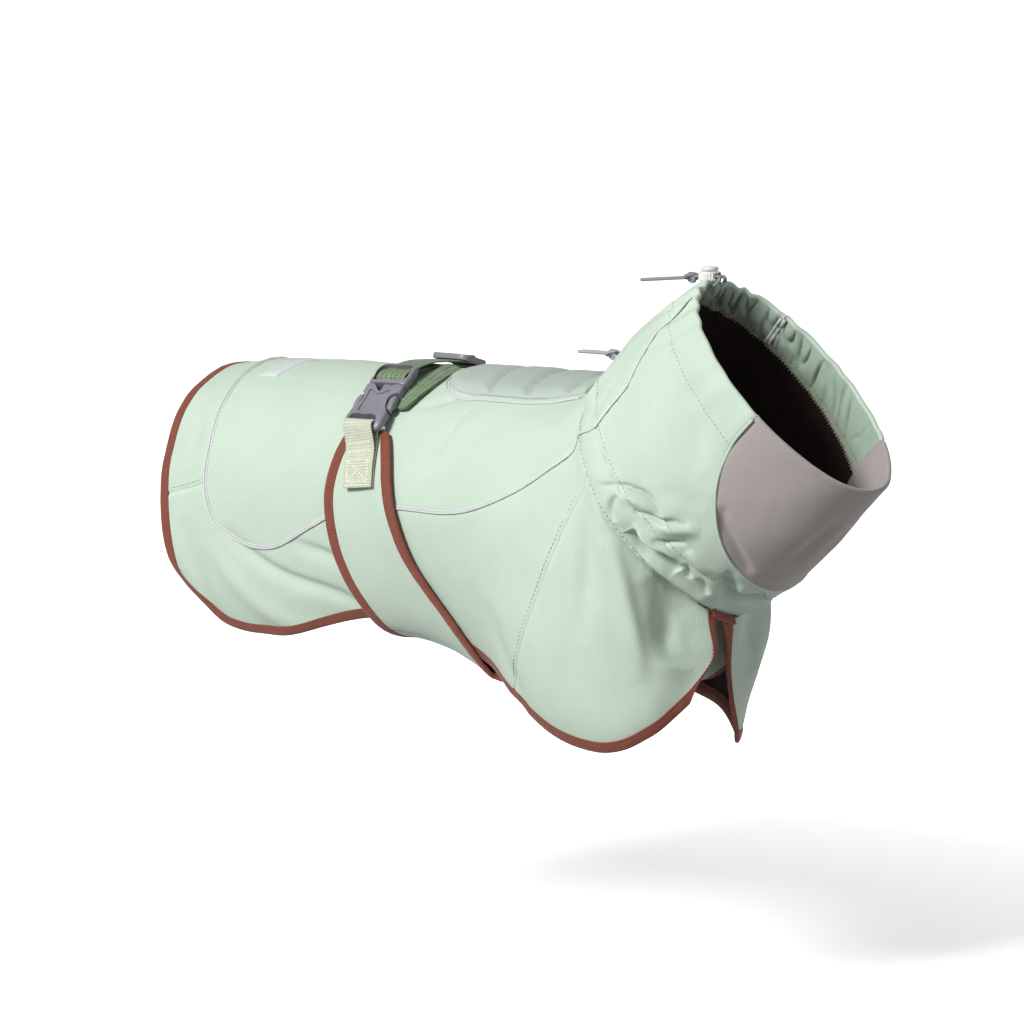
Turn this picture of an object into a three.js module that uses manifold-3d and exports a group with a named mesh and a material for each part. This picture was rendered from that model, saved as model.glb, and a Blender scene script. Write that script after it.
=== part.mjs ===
// Dog softshell jacket, filled out as worn, with nobody in it.
// Millimetres, +Z up. +X runs from the tail to the head, -Y is the dog's right side.
// The origin lies on the spine under the belt, where the wearer's back holds the jacket up.
//
// The shell is one smooth surface through ribs that run from the spine down to the hem.
// On it, u counts ribs from tail to chest, and v runs 0 spine, 1 upper side, 2 widest point,
// 3 hem, 4 middle of the belly. A negative v is the left side. The collar is a second surface
// through tilted rings: w counts rings from the neck seam to the rim, and an angle goes round,
// 0 at the nape, positive on the right side.
import * as THREE from "three";
import Module from "manifold-3d";
import { mergeVertices } from "three/addons/utils/BufferGeometryUtils.js";

// ---- driving dimensions ----
const CLOTH = 1.6;
const SEAM_GAP = 0.36;
const LAYER_GAP = 0.45;
const BINDING = { width: 9, proud: 0.8 };
const PIPING = { width: 3, height: 1.4, lift: 0.55 };
const WEBBING = { width: 25, thickness: 1.5 };
const BELT_LIFT = 4.6;
const YOKE = { thickness: 3.2, lift: 1.1 };
const PATCH_THICKNESS = 0.9;
const FACING_DEPTH = 0.55;
const FACING_GAP = 0.7;
const TUNNEL_TOP = 1;
const RIM = 3;
const HEM = 3;
const NECK_RIB = 6;
const LAST_RIB = 10;
const CORD = { radius: 1.2, sides: 8, spacing: 1.55 };

// Ribs: where each starts on top (spine x and z, or an angle on the neck ring), its widest
// point on the side, its end at the hem and the middle of the belly below it. Side and hem
// are [x, y, z] with y measured outwards, on either side of the dog.
const RIBS = [
  { spine: [-196, -5], neck: 0, side: [-194, 82, -88], hem: [-182, 79, -147], belly: [-165, -185] },
  { spine: [-140, 1], neck: 0, side: [-141, 86, -90], hem: [-141, 75, -183], belly: [-130, -210] },
  { spine: [-80, 2], neck: 0, side: [-83, 86, -90], hem: [-86, 70, -188], belly: [-78, -210] },
  { spine: [-27, 1], neck: 0, side: [-24, 84, -88], hem: [-14, 64, -172], belly: [-8, -181] },
  { spine: [30, 0], neck: 0, side: [32, 85, -92], hem: [47, 61, -174], belly: [30, -184] },
  { spine: [85, 0], neck: 0, side: [90, 88, -98], hem: [98, 61, -194], belly: [88, -203] },
  { spine: [163, 0], neck: 0, side: [140, 93, -110], hem: [134, 76, -213], belly: [134, -226] },
  { spine: [241, 0], neck: 42, side: [183, 95, -135], hem: [177, 83, -234], belly: [177, -262] },
  { spine: [319, 0], neck: 92, side: [222, 88, -165], hem: [215, 79, -240], belly: [215, -268] },
  { spine: [397, 0], neck: 142, side: [250, 64, -180], hem: [242, 68, -228], belly: [240, -262] },
  { spine: [475, 0], neck: 163, side: [264, 24, -176], hem: [261, 44, -203], belly: [260, -230] },
];

// The slit sits a little to the right of the middle, and the left flap hangs straighter.
const LEFT_CHANGES = [
  { rib: 7, hem: [168, 76, -222] },
  { rib: 8, side: [222, 78, -165], hem: [200, 62, -228] },
  { rib: 9, neck: 152, side: [251, 40, -190], hem: [228, 44, -243] },
  { rib: 10, neck: 195, side: [262, -10, -190], hem: [254, 13, -242] },
];

// Collar rings: top and bottom points in the middle plane, half width, and the power of the
// superellipse in the lower half.
const RINGS = [
  { top: [163, 0], bottom: [263, -153], halfWidth: 89, power: 1.55 },
  { top: [172, 15], bottom: [287, -141], halfWidth: 87, power: 1.75 },
  { top: [200, 46], bottom: [327, -109], halfWidth: 72, power: 2 },
  { top: [240, 68], bottom: [371, -65], halfWidth: 63, power: 2 },
];

// Cut lines of the shell from its inner seam to the hem: the inner end and the hem end in
// (u, v), and how strongly the line bows. The inner end follows the piped seam of the back
// panel up to the neck seam, and then the neck seam.
const CUT_LINES = [
  { inner: [0.72, 0], hem: [0, 0], bow: 1 },
  { inner: [0.76, 0.5], hem: [0, 0.6], bow: 1 },
  { inner: [0.84, 1.05], hem: [0, 1.25], bow: 1 },
  { inner: [0.88, 1.55], hem: [0, 1.75], bow: 1 },
  { inner: [0.9, 1.92], hem: [0, 2.12], bow: 1 },
  { inner: [1.05, 2.18], hem: [0, 2.6], bow: 1 },
  { inner: [1.3, 2.28], hem: [0.06, 3], bow: 1 },
  { inner: [1.65, 2.34], hem: [0.7, 3], bow: 1 },
  { inner: [2.1, 2.34], hem: [1.45, 3], bow: 1 },
  { inner: [2.6, 2.22], hem: [2.2, 3], bow: 1 },
  { inner: [3.2, 2.06], hem: [2.95, 3], bow: 1 },
  { inner: [4, 1.96], hem: [3.7, 3], bow: 1 },
  { inner: [4.8, 1.91], hem: [4.4, 3], bow: 1 },
  { inner: [5.4, 1.78], hem: [4.85, 3], bow: 1.05 },
  { inner: [5.9, 1.58], hem: [5.15, 3], bow: 1.1 },
  { inner: [6.4, 1.28], hem: [5.35, 3], bow: 1.25 },
  { inner: [6.82, 0.92], hem: [5.5, 3], bow: 1.4 },
  { inner: [7.1, 0.5], hem: [5.62, 3], bow: 1.5 },
  { inner: [7.25, 0], hem: [5.74, 3], bow: 1.55 },
  { inner: [7.65, 0], hem: [5.9, 3], bow: 1.6 },
  { inner: [8.15, 0], hem: [6.7, 3], bow: 1.4 },
  { inner: [8.65, 0], hem: [7.55, 3], bow: 1.2 },
  { inner: [9.05, 0], hem: [8.4, 3], bow: 1.1 },
  { inner: [9.22, 0], hem: [9.2, 3], bow: 1 },
  { inner: [9.32, 0], hem: [9.84, 3], bow: 1 },
  { inner: [9.4, 0], hem: [10, 2.5], bow: 1 },
  { inner: [9.44, 0], hem: [10, 1.8], bow: 1 },
  { inner: [9.47, 0], hem: [10, 1.1], bow: 1 },
  { inner: [9.49, 0], hem: [10, 0.55], bow: 1 },
  { inner: [9.5, 0], hem: [10, 0.2], bow: 1 },
];
const LINE = { rumpSeam: 4, rearCorner: 6, neck: 18, shoulderSeam: 19, slitFoot: 24, slit: 29 };

// Edges of the belt and belly piece on the shell surface, from the belt's tip down.
const BELT_EDGES = [
  { v: 1.26, rear: 3.2, front: 3.7 },
  { v: 1.34, rear: 3.1, front: 3.82 },
  { v: 1.6, rear: 2.98, front: 3.96 },
  { v: 2, rear: 2.9, front: 4.09 },
  { v: 2.4, rear: 2.93, front: 4.25 },
  { v: 2.8, rear: 3.09, front: 4.7 },
  { v: 3.12, rear: 3.18, front: 5.05 },
  { v: 3.56, rear: 3.24, front: 5.15 },
  { v: 4, rear: 3.26, front: 5.2 },
];
const BELT_FOOT = 6;

// Chest bib behind the flaps: middle line and edge from the belly to the neck seam.
const BIB_ROWS = [
  { middle: [130, -217], edge: [126, 48, -209] },
  { middle: [165, -221], edge: [163, 41, -213] },
  { middle: [197, -212], edge: [196, 40, -206] },
  { middle: [222, -196], edge: [219, 42, -198] },
  { middle: [243, -172], edge: [236, 50, -174] },
];

// Half of the yoke's outline on the back, from its rounded rear end to the neck seam.
const YOKE_EDGE = [
  { u: 3.98, v: 0 },
  { u: 4, v: 0.28 },
  { u: 4.1, v: 0.52 },
  { u: 4.37, v: 0.67 },
  { u: 4.9, v: 0.71 },
  { u: 5.5, v: 0.69 },
  { u: 5.95, v: 0.56 },
  { u: 6.4, v: 0.3 },
  { u: 6.6, v: 0 },
];
const YOKE_PAD_START = 1.7;

// Piped collar seams: the angle at each ring on the right and the left.
const COLLAR_SEAMS = [
  { w: 0, right: 54.5, left: -54.5 },
  { w: 1, right: 61, left: -60 },
  { w: 1.7, right: 56, left: -60 },
  { w: 2.4, right: 39, left: -55 },
  { w: 3, right: 30, left: -50 },
];
const THROAT = { halfAngle: 66, widest: 2.75, bottom: 1.28, twist: -3.5 };

// ---- small helpers ----
const vec = (x, y, z) => new THREE.Vector3(x, y, z);
const lerp = THREE.MathUtils.lerp;
const clamp = THREE.MathUtils.clamp;

/** Uniform Catmull-Rom value through a list of equally long number arrays. */
function splineRow(rows, position) {
  const last = rows.length - 1;
  const at = clamp(position, 0, last);
  const index = Math.min(Math.floor(at), last - 1);
  const f = at - index;
  const here = rows[index];
  const next = rows[index + 1];
  const before = rows[index - 1] ?? here.map((value, k) => 2 * value - next[k]);
  const after = rows[index + 2] ?? next.map((value, k) => 2 * value - here[k]);
  return here.map((value, k) => 0.5 * (2 * value + (next[k] - before[k]) * f
    + (2 * before[k] - 5 * value + 4 * next[k] - after[k]) * f ** 2
    + (3 * value - before[k] - 3 * next[k] + after[k]) * f ** 3));
}

/** Straight interpolation of a column over another column of a table. */
function tableValue(rows, key, at, column) {
  let i = rows.findIndex((row) => row[key] >= at);
  if (i < 0) i = rows.length - 1;
  if (i === 0) i = 1;
  const a = rows[i - 1];
  const b = rows[i];
  return lerp(a[column], b[column], (at - a[key]) / (b[key] - a[key]));
}

/** Point of a ring in the XZ plane, widened to a superellipse; the angle is in degrees. */
function ringPoint(top, bottom, halfWidth, power, angle) {
  const radians = THREE.MathUtils.degToRad(angle);
  const c = Math.cos(radians);
  const s = Math.sin(radians);
  const exponent = 2 / (c > 0 ? 2 : power);
  const up = Math.sign(c) * Math.abs(c) ** exponent;
  const out = Math.sign(s) * Math.abs(s) ** exponent;
  const x = (top[0] + bottom[0]) / 2 + (top[0] - bottom[0]) / 2 * up;
  const z = (top[1] + bottom[1]) / 2 + (top[1] - bottom[1]) / 2 * up;
  return vec(x, -halfWidth * out, z);
}

const NECK = RINGS[0];
const neckPoint = (angle) => ringPoint(NECK.top, NECK.bottom, NECK.halfWidth, NECK.power, angle);

/** Outward direction of the neck ring in its own plane. */
function neckRadial(angle) {
  const before = neckPoint(angle - 1);
  const after = neckPoint(angle + 1);
  const axis = vec(NECK.top[1] - NECK.bottom[1], 0, NECK.bottom[0] - NECK.top[0]).normalize();
  return after.sub(before).cross(axis).normalize();
}

const RIGHT_RIBS = RIBS.map((rib, index) => ({ ...rib, index }));
const LEFT_RIBS = RIGHT_RIBS.map((rib) => ({ ...rib, ...LEFT_CHANGES.find((row) => row.rib === rib.index) }));
const ribTable = (ribs) => ribs.map(({ spine, side, hem, belly }) => [...spine, ...side, ...hem, ...belly]);
const RIB_TABLES = { right: ribTable(RIGHT_RIBS), left: ribTable(LEFT_RIBS) };

/** Angle on the neck ring at which a rib beyond the neck rib starts, from the nape outwards. */
const neckAngle = (u, side) => tableValue(side < 0 ? LEFT_RIBS : RIGHT_RIBS, "index", u, "neck");
const UPPER_ON_BACK = [0.6, 0.707, 0.293];
const UPPER_ON_FLAP = [0.5, 0.62, 0.42];

/** The five points of one rib, with y measured outwards. */
function ribPoints(u, side) {
  const q = splineRow(side < 0 ? RIB_TABLES.left : RIB_TABLES.right, u);
  const flap = clamp((u - NECK_RIB) / 2, 0, 1);
  let top = vec(q[0], 0, q[1]);
  if (u > NECK_RIB) {
    top = neckPoint(neckAngle(u, side));
    top.y = -top.y;
  }
  const widest = vec(q[2], q[3], q[4]);
  const share = UPPER_ON_BACK.map((value, k) => lerp(value, UPPER_ON_FLAP[k], flap));
  const upper = vec(
    lerp(top.x, widest.x, share[0]),
    lerp(top.y, widest.y, share[1]),
    lerp(top.z, widest.z, share[2]),
  );
  return [top, upper, widest, vec(q[5], q[6], q[7]), vec(q[8], 0, q[9])];
}

/** Shell surface; v below 0 is the left side. */
function shellPoint(u, v) {
  const side = v < 0 ? -1 : 1;
  const points = ribPoints(u, side);
  const mirrored = (point) => vec(point.x, -point.y, point.z);
  const onFlap = clamp(u - NECK_RIB, 0, 1);
  const lead = mirrored(points[1]).lerp(points[0].clone().multiplyScalar(2).sub(points[1]), onFlap);
  const rows = [lead, ...points, mirrored(points[3])].map((point) => point.toArray());
  const [x, y, z] = splineRow(rows, 1 + clamp(Math.abs(v), 0, 4));
  return vec(x, -side * y, z);
}

/** Outward unit normal of a surface of two parameters, by small differences. */
function surfaceNormal(surface, a, b, stepA, stepB) {
  const alongA = surface(a + stepA, b).sub(surface(a - stepA, b));
  const alongB = surface(a, b + stepB).sub(surface(a, b - stepB));
  return alongB.cross(alongA).normalize();
}

function shellNormal(u, v) {
  const side = Math.sign(v || 1);
  if (u >= NECK_RIB && Math.abs(v) < 1e-6) return neckRadial(side * neckAngle(u, side));
  const inside = clamp(u, 0.02, LAST_RIB - 0.02);
  if (Math.abs(v) < 0.01) {
    const beside = surfaceNormal(shellPoint, inside, side * 0.011, 0.01, 0.01);
    return u < NECK_RIB ? beside.setY(0).normalize() : beside;
  }
  if (Math.abs(v) > 3.99) {
    return surfaceNormal(shellPoint, inside, side * 3.98, 0.01, 0.01).setY(0).normalize();
  }
  return surfaceNormal(shellPoint, inside, v, 0.01, 0.005);
}

const RING_ROWS = RINGS.map((ring) => [...ring.top, ...ring.bottom, ring.halfWidth, ring.power]);

function collarPoint(w, angle) {
  const q = splineRow(RING_ROWS, w);
  return ringPoint([q[0], q[1]], [q[2], q[3]], q[4], q[5], angle);
}

function collarNormal(w, angle) {
  if (w < 1e-6) return neckRadial(angle);
  const inside = clamp(w, 0.02, RIM - 0.02);
  return surfaceNormal(collarPoint, inside, angle, 0.01, 0.5);
}

/** A surface lifted along its own normals. */
const lifted = (surface, normal, lift) => (a, b) => surface(a, b).addScaledVector(normal(a, b), lift);

// ---- closed solids ----
/** Grid of { outer, inner } points from a function of two counters. */
function grid(rows, columns, make) {
  const cells = [];
  for (let i = 0; i <= rows; i += 1) {
    const row = [];
    for (let j = 0; j <= columns; j += 1) row.push(make(i / rows, j / columns));
    cells.push(row);
  }
  return cells;
}

/** A point on the cloth's outer face, and the one below it on the inner face. */
function clothPoint(surface, normal, a, b, lift = 0, thickness = CLOTH) {
  const point = surface(a, b);
  const out = normal(a, b);
  return {
    outer: point.clone().addScaledVector(out, lift),
    inner: point.clone().addScaledVector(out, lift - thickness),
    out,
  };
}

/** One closed wall from one or more grids that share edges; free edges step back half a gap. */
function wallGeometry(grids) {
  const points = [];
  const index = new Map();
  const idOf = (point) => {
    const key = point.outer.toArray().map((value) => Math.round(value * 500)).join(",");
    if (!index.has(key)) {
      index.set(key, points.length);
      points.push({ outer: point.outer.clone(), inner: point.inner.clone(), out: point.out });
    }
    return index.get(key);
  };
  const solid = grids.flatMap((cells) => gridFaces(cells.map((row) => row.map(idOf)), points));
  const border = borderEdges(solid);
  stepBack(points, border);
  const count = points.length;
  const triangles = [];
  for (const [a, b, c] of solid) triangles.push([a, b, c], [a + count, c + count, b + count]);
  for (const [a, b] of border) {
    triangles.push([b, a, a + count], [b, a + count, b + count]);
  }
  return meshGeometry([...points.map((p) => p.outer), ...points.map((p) => p.inner)], triangles);
}

/** Triangles of one grid, all turned to face along the cloth's outward direction. */
function gridFaces(ids, points) {
  const faces = [];
  for (let i = 0; i + 1 < ids.length; i += 1) {
    for (let j = 0; j + 1 < ids[i].length; j += 1) {
      const corners = [ids[i][j], ids[i + 1][j], ids[i + 1][j + 1], ids[i][j + 1]];
      faces.push([corners[0], corners[1], corners[2]], [corners[0], corners[2], corners[3]]);
    }
  }
  const solid = faces.filter(([a, b, c]) => a !== b && b !== c && c !== a);
  const facing = solid.reduce((sum, face) => {
    const [a, b, c] = face.map((id) => points[id].outer);
    return sum + b.clone().sub(a).cross(c.clone().sub(a)).dot(points[face[0]].out);
  }, 0);
  return facing < 0 ? solid.map((face) => face.reverse()) : solid;
}

function borderEdges(faces) {
  const edges = new Set(faces.flatMap(([a, b, c]) => [`${a},${b}`, `${b},${c}`, `${c},${a}`]));
  return [...edges].filter((edge) => !edges.has(edge.split(",").reverse().join(",")))
    .map((edge) => edge.split(",").map(Number));
}

function stepBack(points, border) {
  const moves = new Map();
  for (const [a, b] of border) {
    const along = points[b].outer.clone().sub(points[a].outer).normalize();
    for (const id of [a, b]) {
      const inward = points[id].out.clone().cross(along).normalize();
      moves.set(id, [...(moves.get(id) ?? []), inward]);
    }
  }
  for (const [id, list] of moves) {
    const sum = list.reduce((total, item) => total.add(item), vec(0, 0, 0));
    const mitre = list.length > 1 ? Math.max(0.6, 1 + list[0].dot(list[1])) : 1;
    const shift = sum.multiplyScalar(SEAM_GAP / 2 / mitre);
    points[id].outer.add(shift);
    points[id].inner.add(shift);
  }
}

function meshGeometry(points, triangles) {
  const geometry = new THREE.BufferGeometry();
  geometry.setAttribute("position", new THREE.Float32BufferAttribute(points.flatMap((p) => p.toArray()), 3));
  geometry.setIndex(triangles.flat());
  return geometry;
}

/** Frames along a surface path: point, outward normal, and the sideways direction. */
function surfaceFrames(path, surface, normal, lift) {
  const points = path.map(([a, b]) => surface(a, b).addScaledVector(normal(a, b), lift));
  return points.map((point, k) => {
    const ahead = points[Math.min(k + 1, points.length - 1)];
    const behind = points[Math.max(k - 1, 0)];
    const out = normal(...path[k]);
    const along = ahead.clone().sub(behind).normalize();
    return { point, out, across: along.clone().cross(out).normalize() };
  });
}

/** Sweeps a convex profile, given as [across, out] pairs, along frames, with flat ends. */
function sweepGeometry(frames, profile) {
  const size = profile.length;
  const points = [];
  for (const { point, out, across } of frames) {
    for (const [x, y] of profile) {
      points.push(point.clone().addScaledVector(across, x).addScaledVector(out, y));
    }
  }
  const triangles = [];
  for (let k = 0; k + 1 < frames.length; k += 1) {
    for (let j = 0; j < size; j += 1) {
      const a = k * size + j;
      const b = k * size + (j + 1) % size;
      triangles.push([a, b, b + size], [a, b + size, a + size]);
    }
  }
  const end = (frames.length - 1) * size;
  for (let j = 1; j + 1 < size; j += 1) {
    triangles.push([0, j + 1, j], [end, end + j, end + j + 1]);
  }
  return outwardGeometry(points, triangles);
}

/** Reverses all the triangles where the closed surface would be inside out. */
function outwardGeometry(points, triangles) {
  let volume = 0;
  for (const [a, b, c] of triangles) volume += points[a].dot(points[b].clone().cross(points[c]));
  const list = volume < 0 ? triangles.map(([a, b, c]) => [a, c, b]) : triangles;
  return meshGeometry(points, list);
}

// ---- library booleans ----
const wasm = await Module();
wasm.setup();

function toSolid(geometry) {
  const bare = geometry.clone();
  bare.deleteAttribute("normal");
  bare.deleteAttribute("uv");
  const merged = mergeVertices(bare, 1e-4);
  return new wasm.Manifold(new wasm.Mesh({
    numProp: 3,
    vertProperties: new Float32Array(merged.attributes.position.array),
    triVerts: new Uint32Array(merged.index.array),
  }));
}

function toGeometry(solid) {
  const mesh = solid.getMesh();
  const geometry = new THREE.BufferGeometry();
  geometry.setAttribute("position", new THREE.BufferAttribute(mesh.vertProperties, 3));
  geometry.setIndex(new THREE.BufferAttribute(mesh.triVerts, 1));
  return geometry;
}

const cut = (geometry, ...tools) => toGeometry(
  tools.reduce((solid, tool) => solid.subtract(toSolid(tool)), toSolid(geometry)),
);
const join = (geometry, ...others) => toGeometry(
  others.reduce((solid, other) => solid.add(toSolid(other)), toSolid(geometry)),
);

/** Box from its low and high corners. */
function block(low, high) {
  const size = high.map((value, k) => value - low[k]);
  const middle = high.map((value, k) => (value + low[k]) / 2);
  return new THREE.BoxGeometry(...size).translate(...middle);
}

/** Plate with rounded corners, its underside at the given height. */
function roundedPlate(length, width, corner, bottom, thickness) {
  const shape = new THREE.Shape();
  const x = length / 2;
  const y = width / 2;
  shape.moveTo(-x + corner, -y);
  shape.lineTo(x - corner, -y);
  shape.absarc(x - corner, -y + corner, corner, -Math.PI / 2, 0);
  shape.lineTo(x, y - corner);
  shape.absarc(x - corner, y - corner, corner, 0, Math.PI / 2);
  shape.lineTo(-x + corner, y);
  shape.absarc(-x + corner, y - corner, corner, Math.PI / 2, Math.PI);
  shape.lineTo(-x, -y + corner);
  shape.absarc(-x + corner, -y + corner, corner, Math.PI, Math.PI * 1.5);
  const settings = { depth: thickness, bevelEnabled: false, curveSegments: 3 };
  return new THREE.ExtrudeGeometry(shape, settings).translate(0, 0, bottom);
}

// ---- the model ----
const jacket = new THREE.Group();
const FINISH = {
  shell: { color: 0xcfe0d2, roughness: 0.75, metalness: 0 },
  throat: { color: 0xa39a98, roughness: 0.9, metalness: 0 },
  binding: { color: 0x8a4638, roughness: 0.85, metalness: 0 },
  piping: { color: 0xdfe3e2, roughness: 0.45, metalness: 0 },
  yoke: { color: 0xc6d1c6, roughness: 0.8, metalness: 0 },
  patch: { color: 0xc4cac6, roughness: 0.6, metalness: 0 },
  paleWebbing: { color: 0xd5dbbd, roughness: 0.85, metalness: 0 },
  darkWebbing: { color: 0x7f8f74, roughness: 0.85, metalness: 0 },
  buckle: { color: 0x8b8892, roughness: 0.45, metalness: 0 },
  lock: { color: 0xe3e3e1, roughness: 0.4, metalness: 0 },
  cord: { color: 0x6c6c70, roughness: 0.8, metalness: 0 },
};

function add(name, geometry, finish) {
  const mesh = new THREE.Mesh(geometry, new THREE.MeshStandardMaterial(FINISH[finish]));
  mesh.name = name;
  jacket.add(mesh);
  return mesh;
}

// ---- shell panels ----
const LINE_ROWS = CUT_LINES.map((line) => [...line.inner, ...line.hem, line.bow]);

/** (u, v) on cut line s at the share t of the way from its inner end to the hem. */
function cutLine(s, t) {
  const q = splineRow(LINE_ROWS, s);
  const innerU = clamp(q[0], 0, LAST_RIB);
  const innerV = s >= LINE.neck ? 0 : Math.max(q[1], 0);
  const hemU = s <= LINE.rearCorner - 1 ? 0 : clamp(q[2], 0, LAST_RIB);
  const hemV = s >= LINE.rearCorner && s <= LINE.slitFoot ? HEM : clamp(q[3], 0, HEM);
  return [lerp(innerU, hemU, t ** q[4]), lerp(innerV, hemV, t)];
}

/** Share of a cut line at which the binding begins. */
function bindingStart(s, side) {
  const onLine = (t) => {
    const [u, v] = cutLine(s, t);
    return shellPoint(u, side * (v || 1e-9));
  };
  const edge = onLine(1);
  let low = 0;
  let high = 1;
  for (let k = 0; k < 20; k += 1) {
    const middle = (low + high) / 2;
    if (onLine(middle).distanceTo(edge) > BINDING.width) low = middle;
    else high = middle;
  }
  return low;
}

/** Piece of the skirt between two cut lines, as a grid. */
function skirtGrid(from, to, side) {
  return grid(skirtRows(from, to), SKIRT_COLUMNS, (i, j) => {
    const s = lerp(from, to, i);
    const [u, v] = cutLine(s, j * bindingStart(s, side));
    return clothPoint(shellPoint, shellNormal, u, side * (v || 1e-9));
  });
}

const STEPS_PER_LINE = 1.5;
const SKIRT_COLUMNS = 5;
const skirtRows = (from, to) => Math.round((to - from) * STEPS_PER_LINE);

/** Half of the back panel, from the piped seam to the spine or the neck seam. */
function backGrid(side) {
  return grid(skirtRows(0, LINE.neck), 5, (i, j) => {
    const s = i * LINE.neck;
    const [u, v] = cutLine(s, 0);
    return clothPoint(shellPoint, shellNormal, u, side * (v * (1 - j) || 1e-9));
  });
}

function buildShell() {
  add("back_panel", wallGeometry([backGrid(1), backGrid(-1)]), "shell");
  const rump = [1, -1].map((side) => skirtGrid(0, LINE.rumpSeam, side));
  add("rump_panel", wallGeometry(rump), "shell");
  for (const [label, side] of [["R", 1], ["L", -1]]) {
    add(`side_panel_${label}`, wallGeometry([
      skirtGrid(LINE.rumpSeam, LINE.neck, side),
      skirtGrid(LINE.neck, LINE.shoulderSeam, side),
    ]), "shell");
    const flap = skirtGrid(LINE.shoulderSeam, LINE.slit, side);
    add(`front_flap_${label}`, wallGeometry([flap]), "shell");
  }
}

// ---- hem binding ----
const TAIL_JOIN = 0.02;
/** Rounded strip that starts at the cloth's edge and runs out to the binding's own edge. */
function bindingProfile(width, direction) {
  const top = BINDING.proud;
  const bottom = -CLOTH - BINDING.proud;
  const middle = -CLOTH / 2;
  const start = SEAM_GAP / 2;
  return [[start, top], [width - 1, top], [width, middle], [width - 1, bottom], [start, bottom]]
    .map(([x, y]) => [x * direction, y]);
}

/** The values of s at which the skirt panels between two cut lines have their rows. */
const skirtStations = (from, to) => Array.from(
  { length: skirtRows(from, to) + 1 },
  (_, k) => lerp(from, to, k / skirtRows(from, to)),
);

/** Frames along the cut edge of the skirt whose across direction points at the hem. */
function hemFrames(side) {
  const frames = [];
  const stations = [
    TAIL_JOIN,
    ...skirtStations(0, LINE.rumpSeam).slice(1),
    ...skirtStations(LINE.rumpSeam, LINE.neck).slice(1),
    ...skirtStations(LINE.neck, LINE.shoulderSeam).slice(1),
    ...skirtStations(LINE.shoulderSeam, LINE.slit).slice(1),
  ];
  for (const s of stations) {
    const [u, v] = cutLine(s, bindingStart(s, side));
    const [edgeU, edgeV] = cutLine(s, 1);
    const point = shellPoint(u, side * (v || 1e-9));
    const out = shellNormal(u, side * (v || 1e-9));
    const across = shellPoint(edgeU, side * (edgeV || 1e-9)).sub(point);
    across.addScaledVector(out, -across.dot(out)).normalize();
    frames.push({ point, out, across });
  }
  return frames;
}

function buildHemBinding() {
  for (const [label, side] of [["R", 1], ["L", -1]]) {
    const strip = sweepGeometry(hemFrames(side), bindingProfile(BINDING.width, 1));
    add(`hem_binding_${label}`, strip, "binding");
  }
}

// ---- bridge over the top of the slit ----
const BRIDGE = { from: 158, to: 172, height: 10, drop: 0.7, down: [0.2, 0, -0.98] };

function buildSlitBridge() {
  const down = vec(...BRIDGE.down).normalize();
  const lift = BINDING.proud + LAYER_GAP + CLOTH;
  const cells = grid(2, 4, (i, j) => {
    const angle = lerp(BRIDGE.from, BRIDGE.to, j);
    const seam = neckPoint(angle);
    const out = vec(1, -Math.sin(THREE.MathUtils.degToRad(180 - angle)), 0.2).normalize();
    const outer = seam.addScaledVector(down, BRIDGE.drop + i * BRIDGE.height).addScaledVector(out, lift);
    return { outer, inner: outer.clone().addScaledVector(out, -CLOTH), out };
  });
  add("slit_bridge", wallGeometry([cells]), "binding");
}

// ---- piped seams ----
const PIPING_PROFILE = [[-1, 0], [-0.7, 0.8], [0, 1], [0.7, 0.8], [1, 0]]
  .map(([x, y]) => [x * PIPING.width / 2, y * PIPING.height]);

function buildPiping() {
  const pathOn = (side) => Array.from({ length: 37 }, (_, k) => {
    const [u, v] = cutLine(lerp(0.03, LINE.neck - 0.05, k / 36), 0);
    return [u, side * (v || 1e-9)];
  });
  const collarPath = (column) => Array.from({ length: 11 }, (_, k) => {
    const w = lerp(0.06, RIM - 0.03, k / 10);
    return [w, tableValue(COLLAR_SEAMS, "w", w, column)];
  });
  for (const [label, side, column] of [["R", 1, "right"], ["L", -1, "left"]]) {
    const onBack = surfaceFrames(pathOn(side), shellPoint, shellNormal, PIPING.lift);
    add(`back_piping_${label}`, sweepGeometry(onBack, PIPING_PROFILE), "piping");
    const onCollar = surfaceFrames(collarPath(column), collarPoint, collarNormal, LAYER_GAP);
    add(`collar_piping_${label}`, sweepGeometry(onCollar, PIPING_PROFILE), "piping");
  }
}

// ---- collar ----
const throatCentre = (w) => 180 + THROAT.twist * w;

function throatHalf(w) {
  if (w >= THROAT.widest) return THROAT.halfAngle;
  const share = (THROAT.widest - w) / (THROAT.widest - THROAT.bottom);
  return THROAT.halfAngle * Math.sqrt(Math.max(0, 1 - share ** 2));
}

/** Rings at which every collar piece has its points, closer together at the throat's foot. */
const THROAT_STEPS = 5;
const throatStations = Array.from({ length: THROAT_STEPS + 1 }, (_, k) => {
  const rise = 1 - Math.cos(k / THROAT_STEPS * Math.PI / 2);
  return lerp(THROAT.bottom, THROAT.widest, rise);
});
const throatRim = [THROAT.widest, RIM];
const collarStations = [TUNNEL_TOP, ...throatStations, RIM];

/** Collar piece at the given rings, between two angle functions of w. */
function collarGrid(stations, left, right, columns, lift = 0, thickness = CLOTH) {
  return grid(stations.length - 1, columns, (i, j) => {
    const w = stations[Math.round(i * (stations.length - 1))];
    return clothPoint(collarPoint, collarNormal, w, lerp(left(w), right(w), j), lift, thickness);
  });
}

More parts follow.
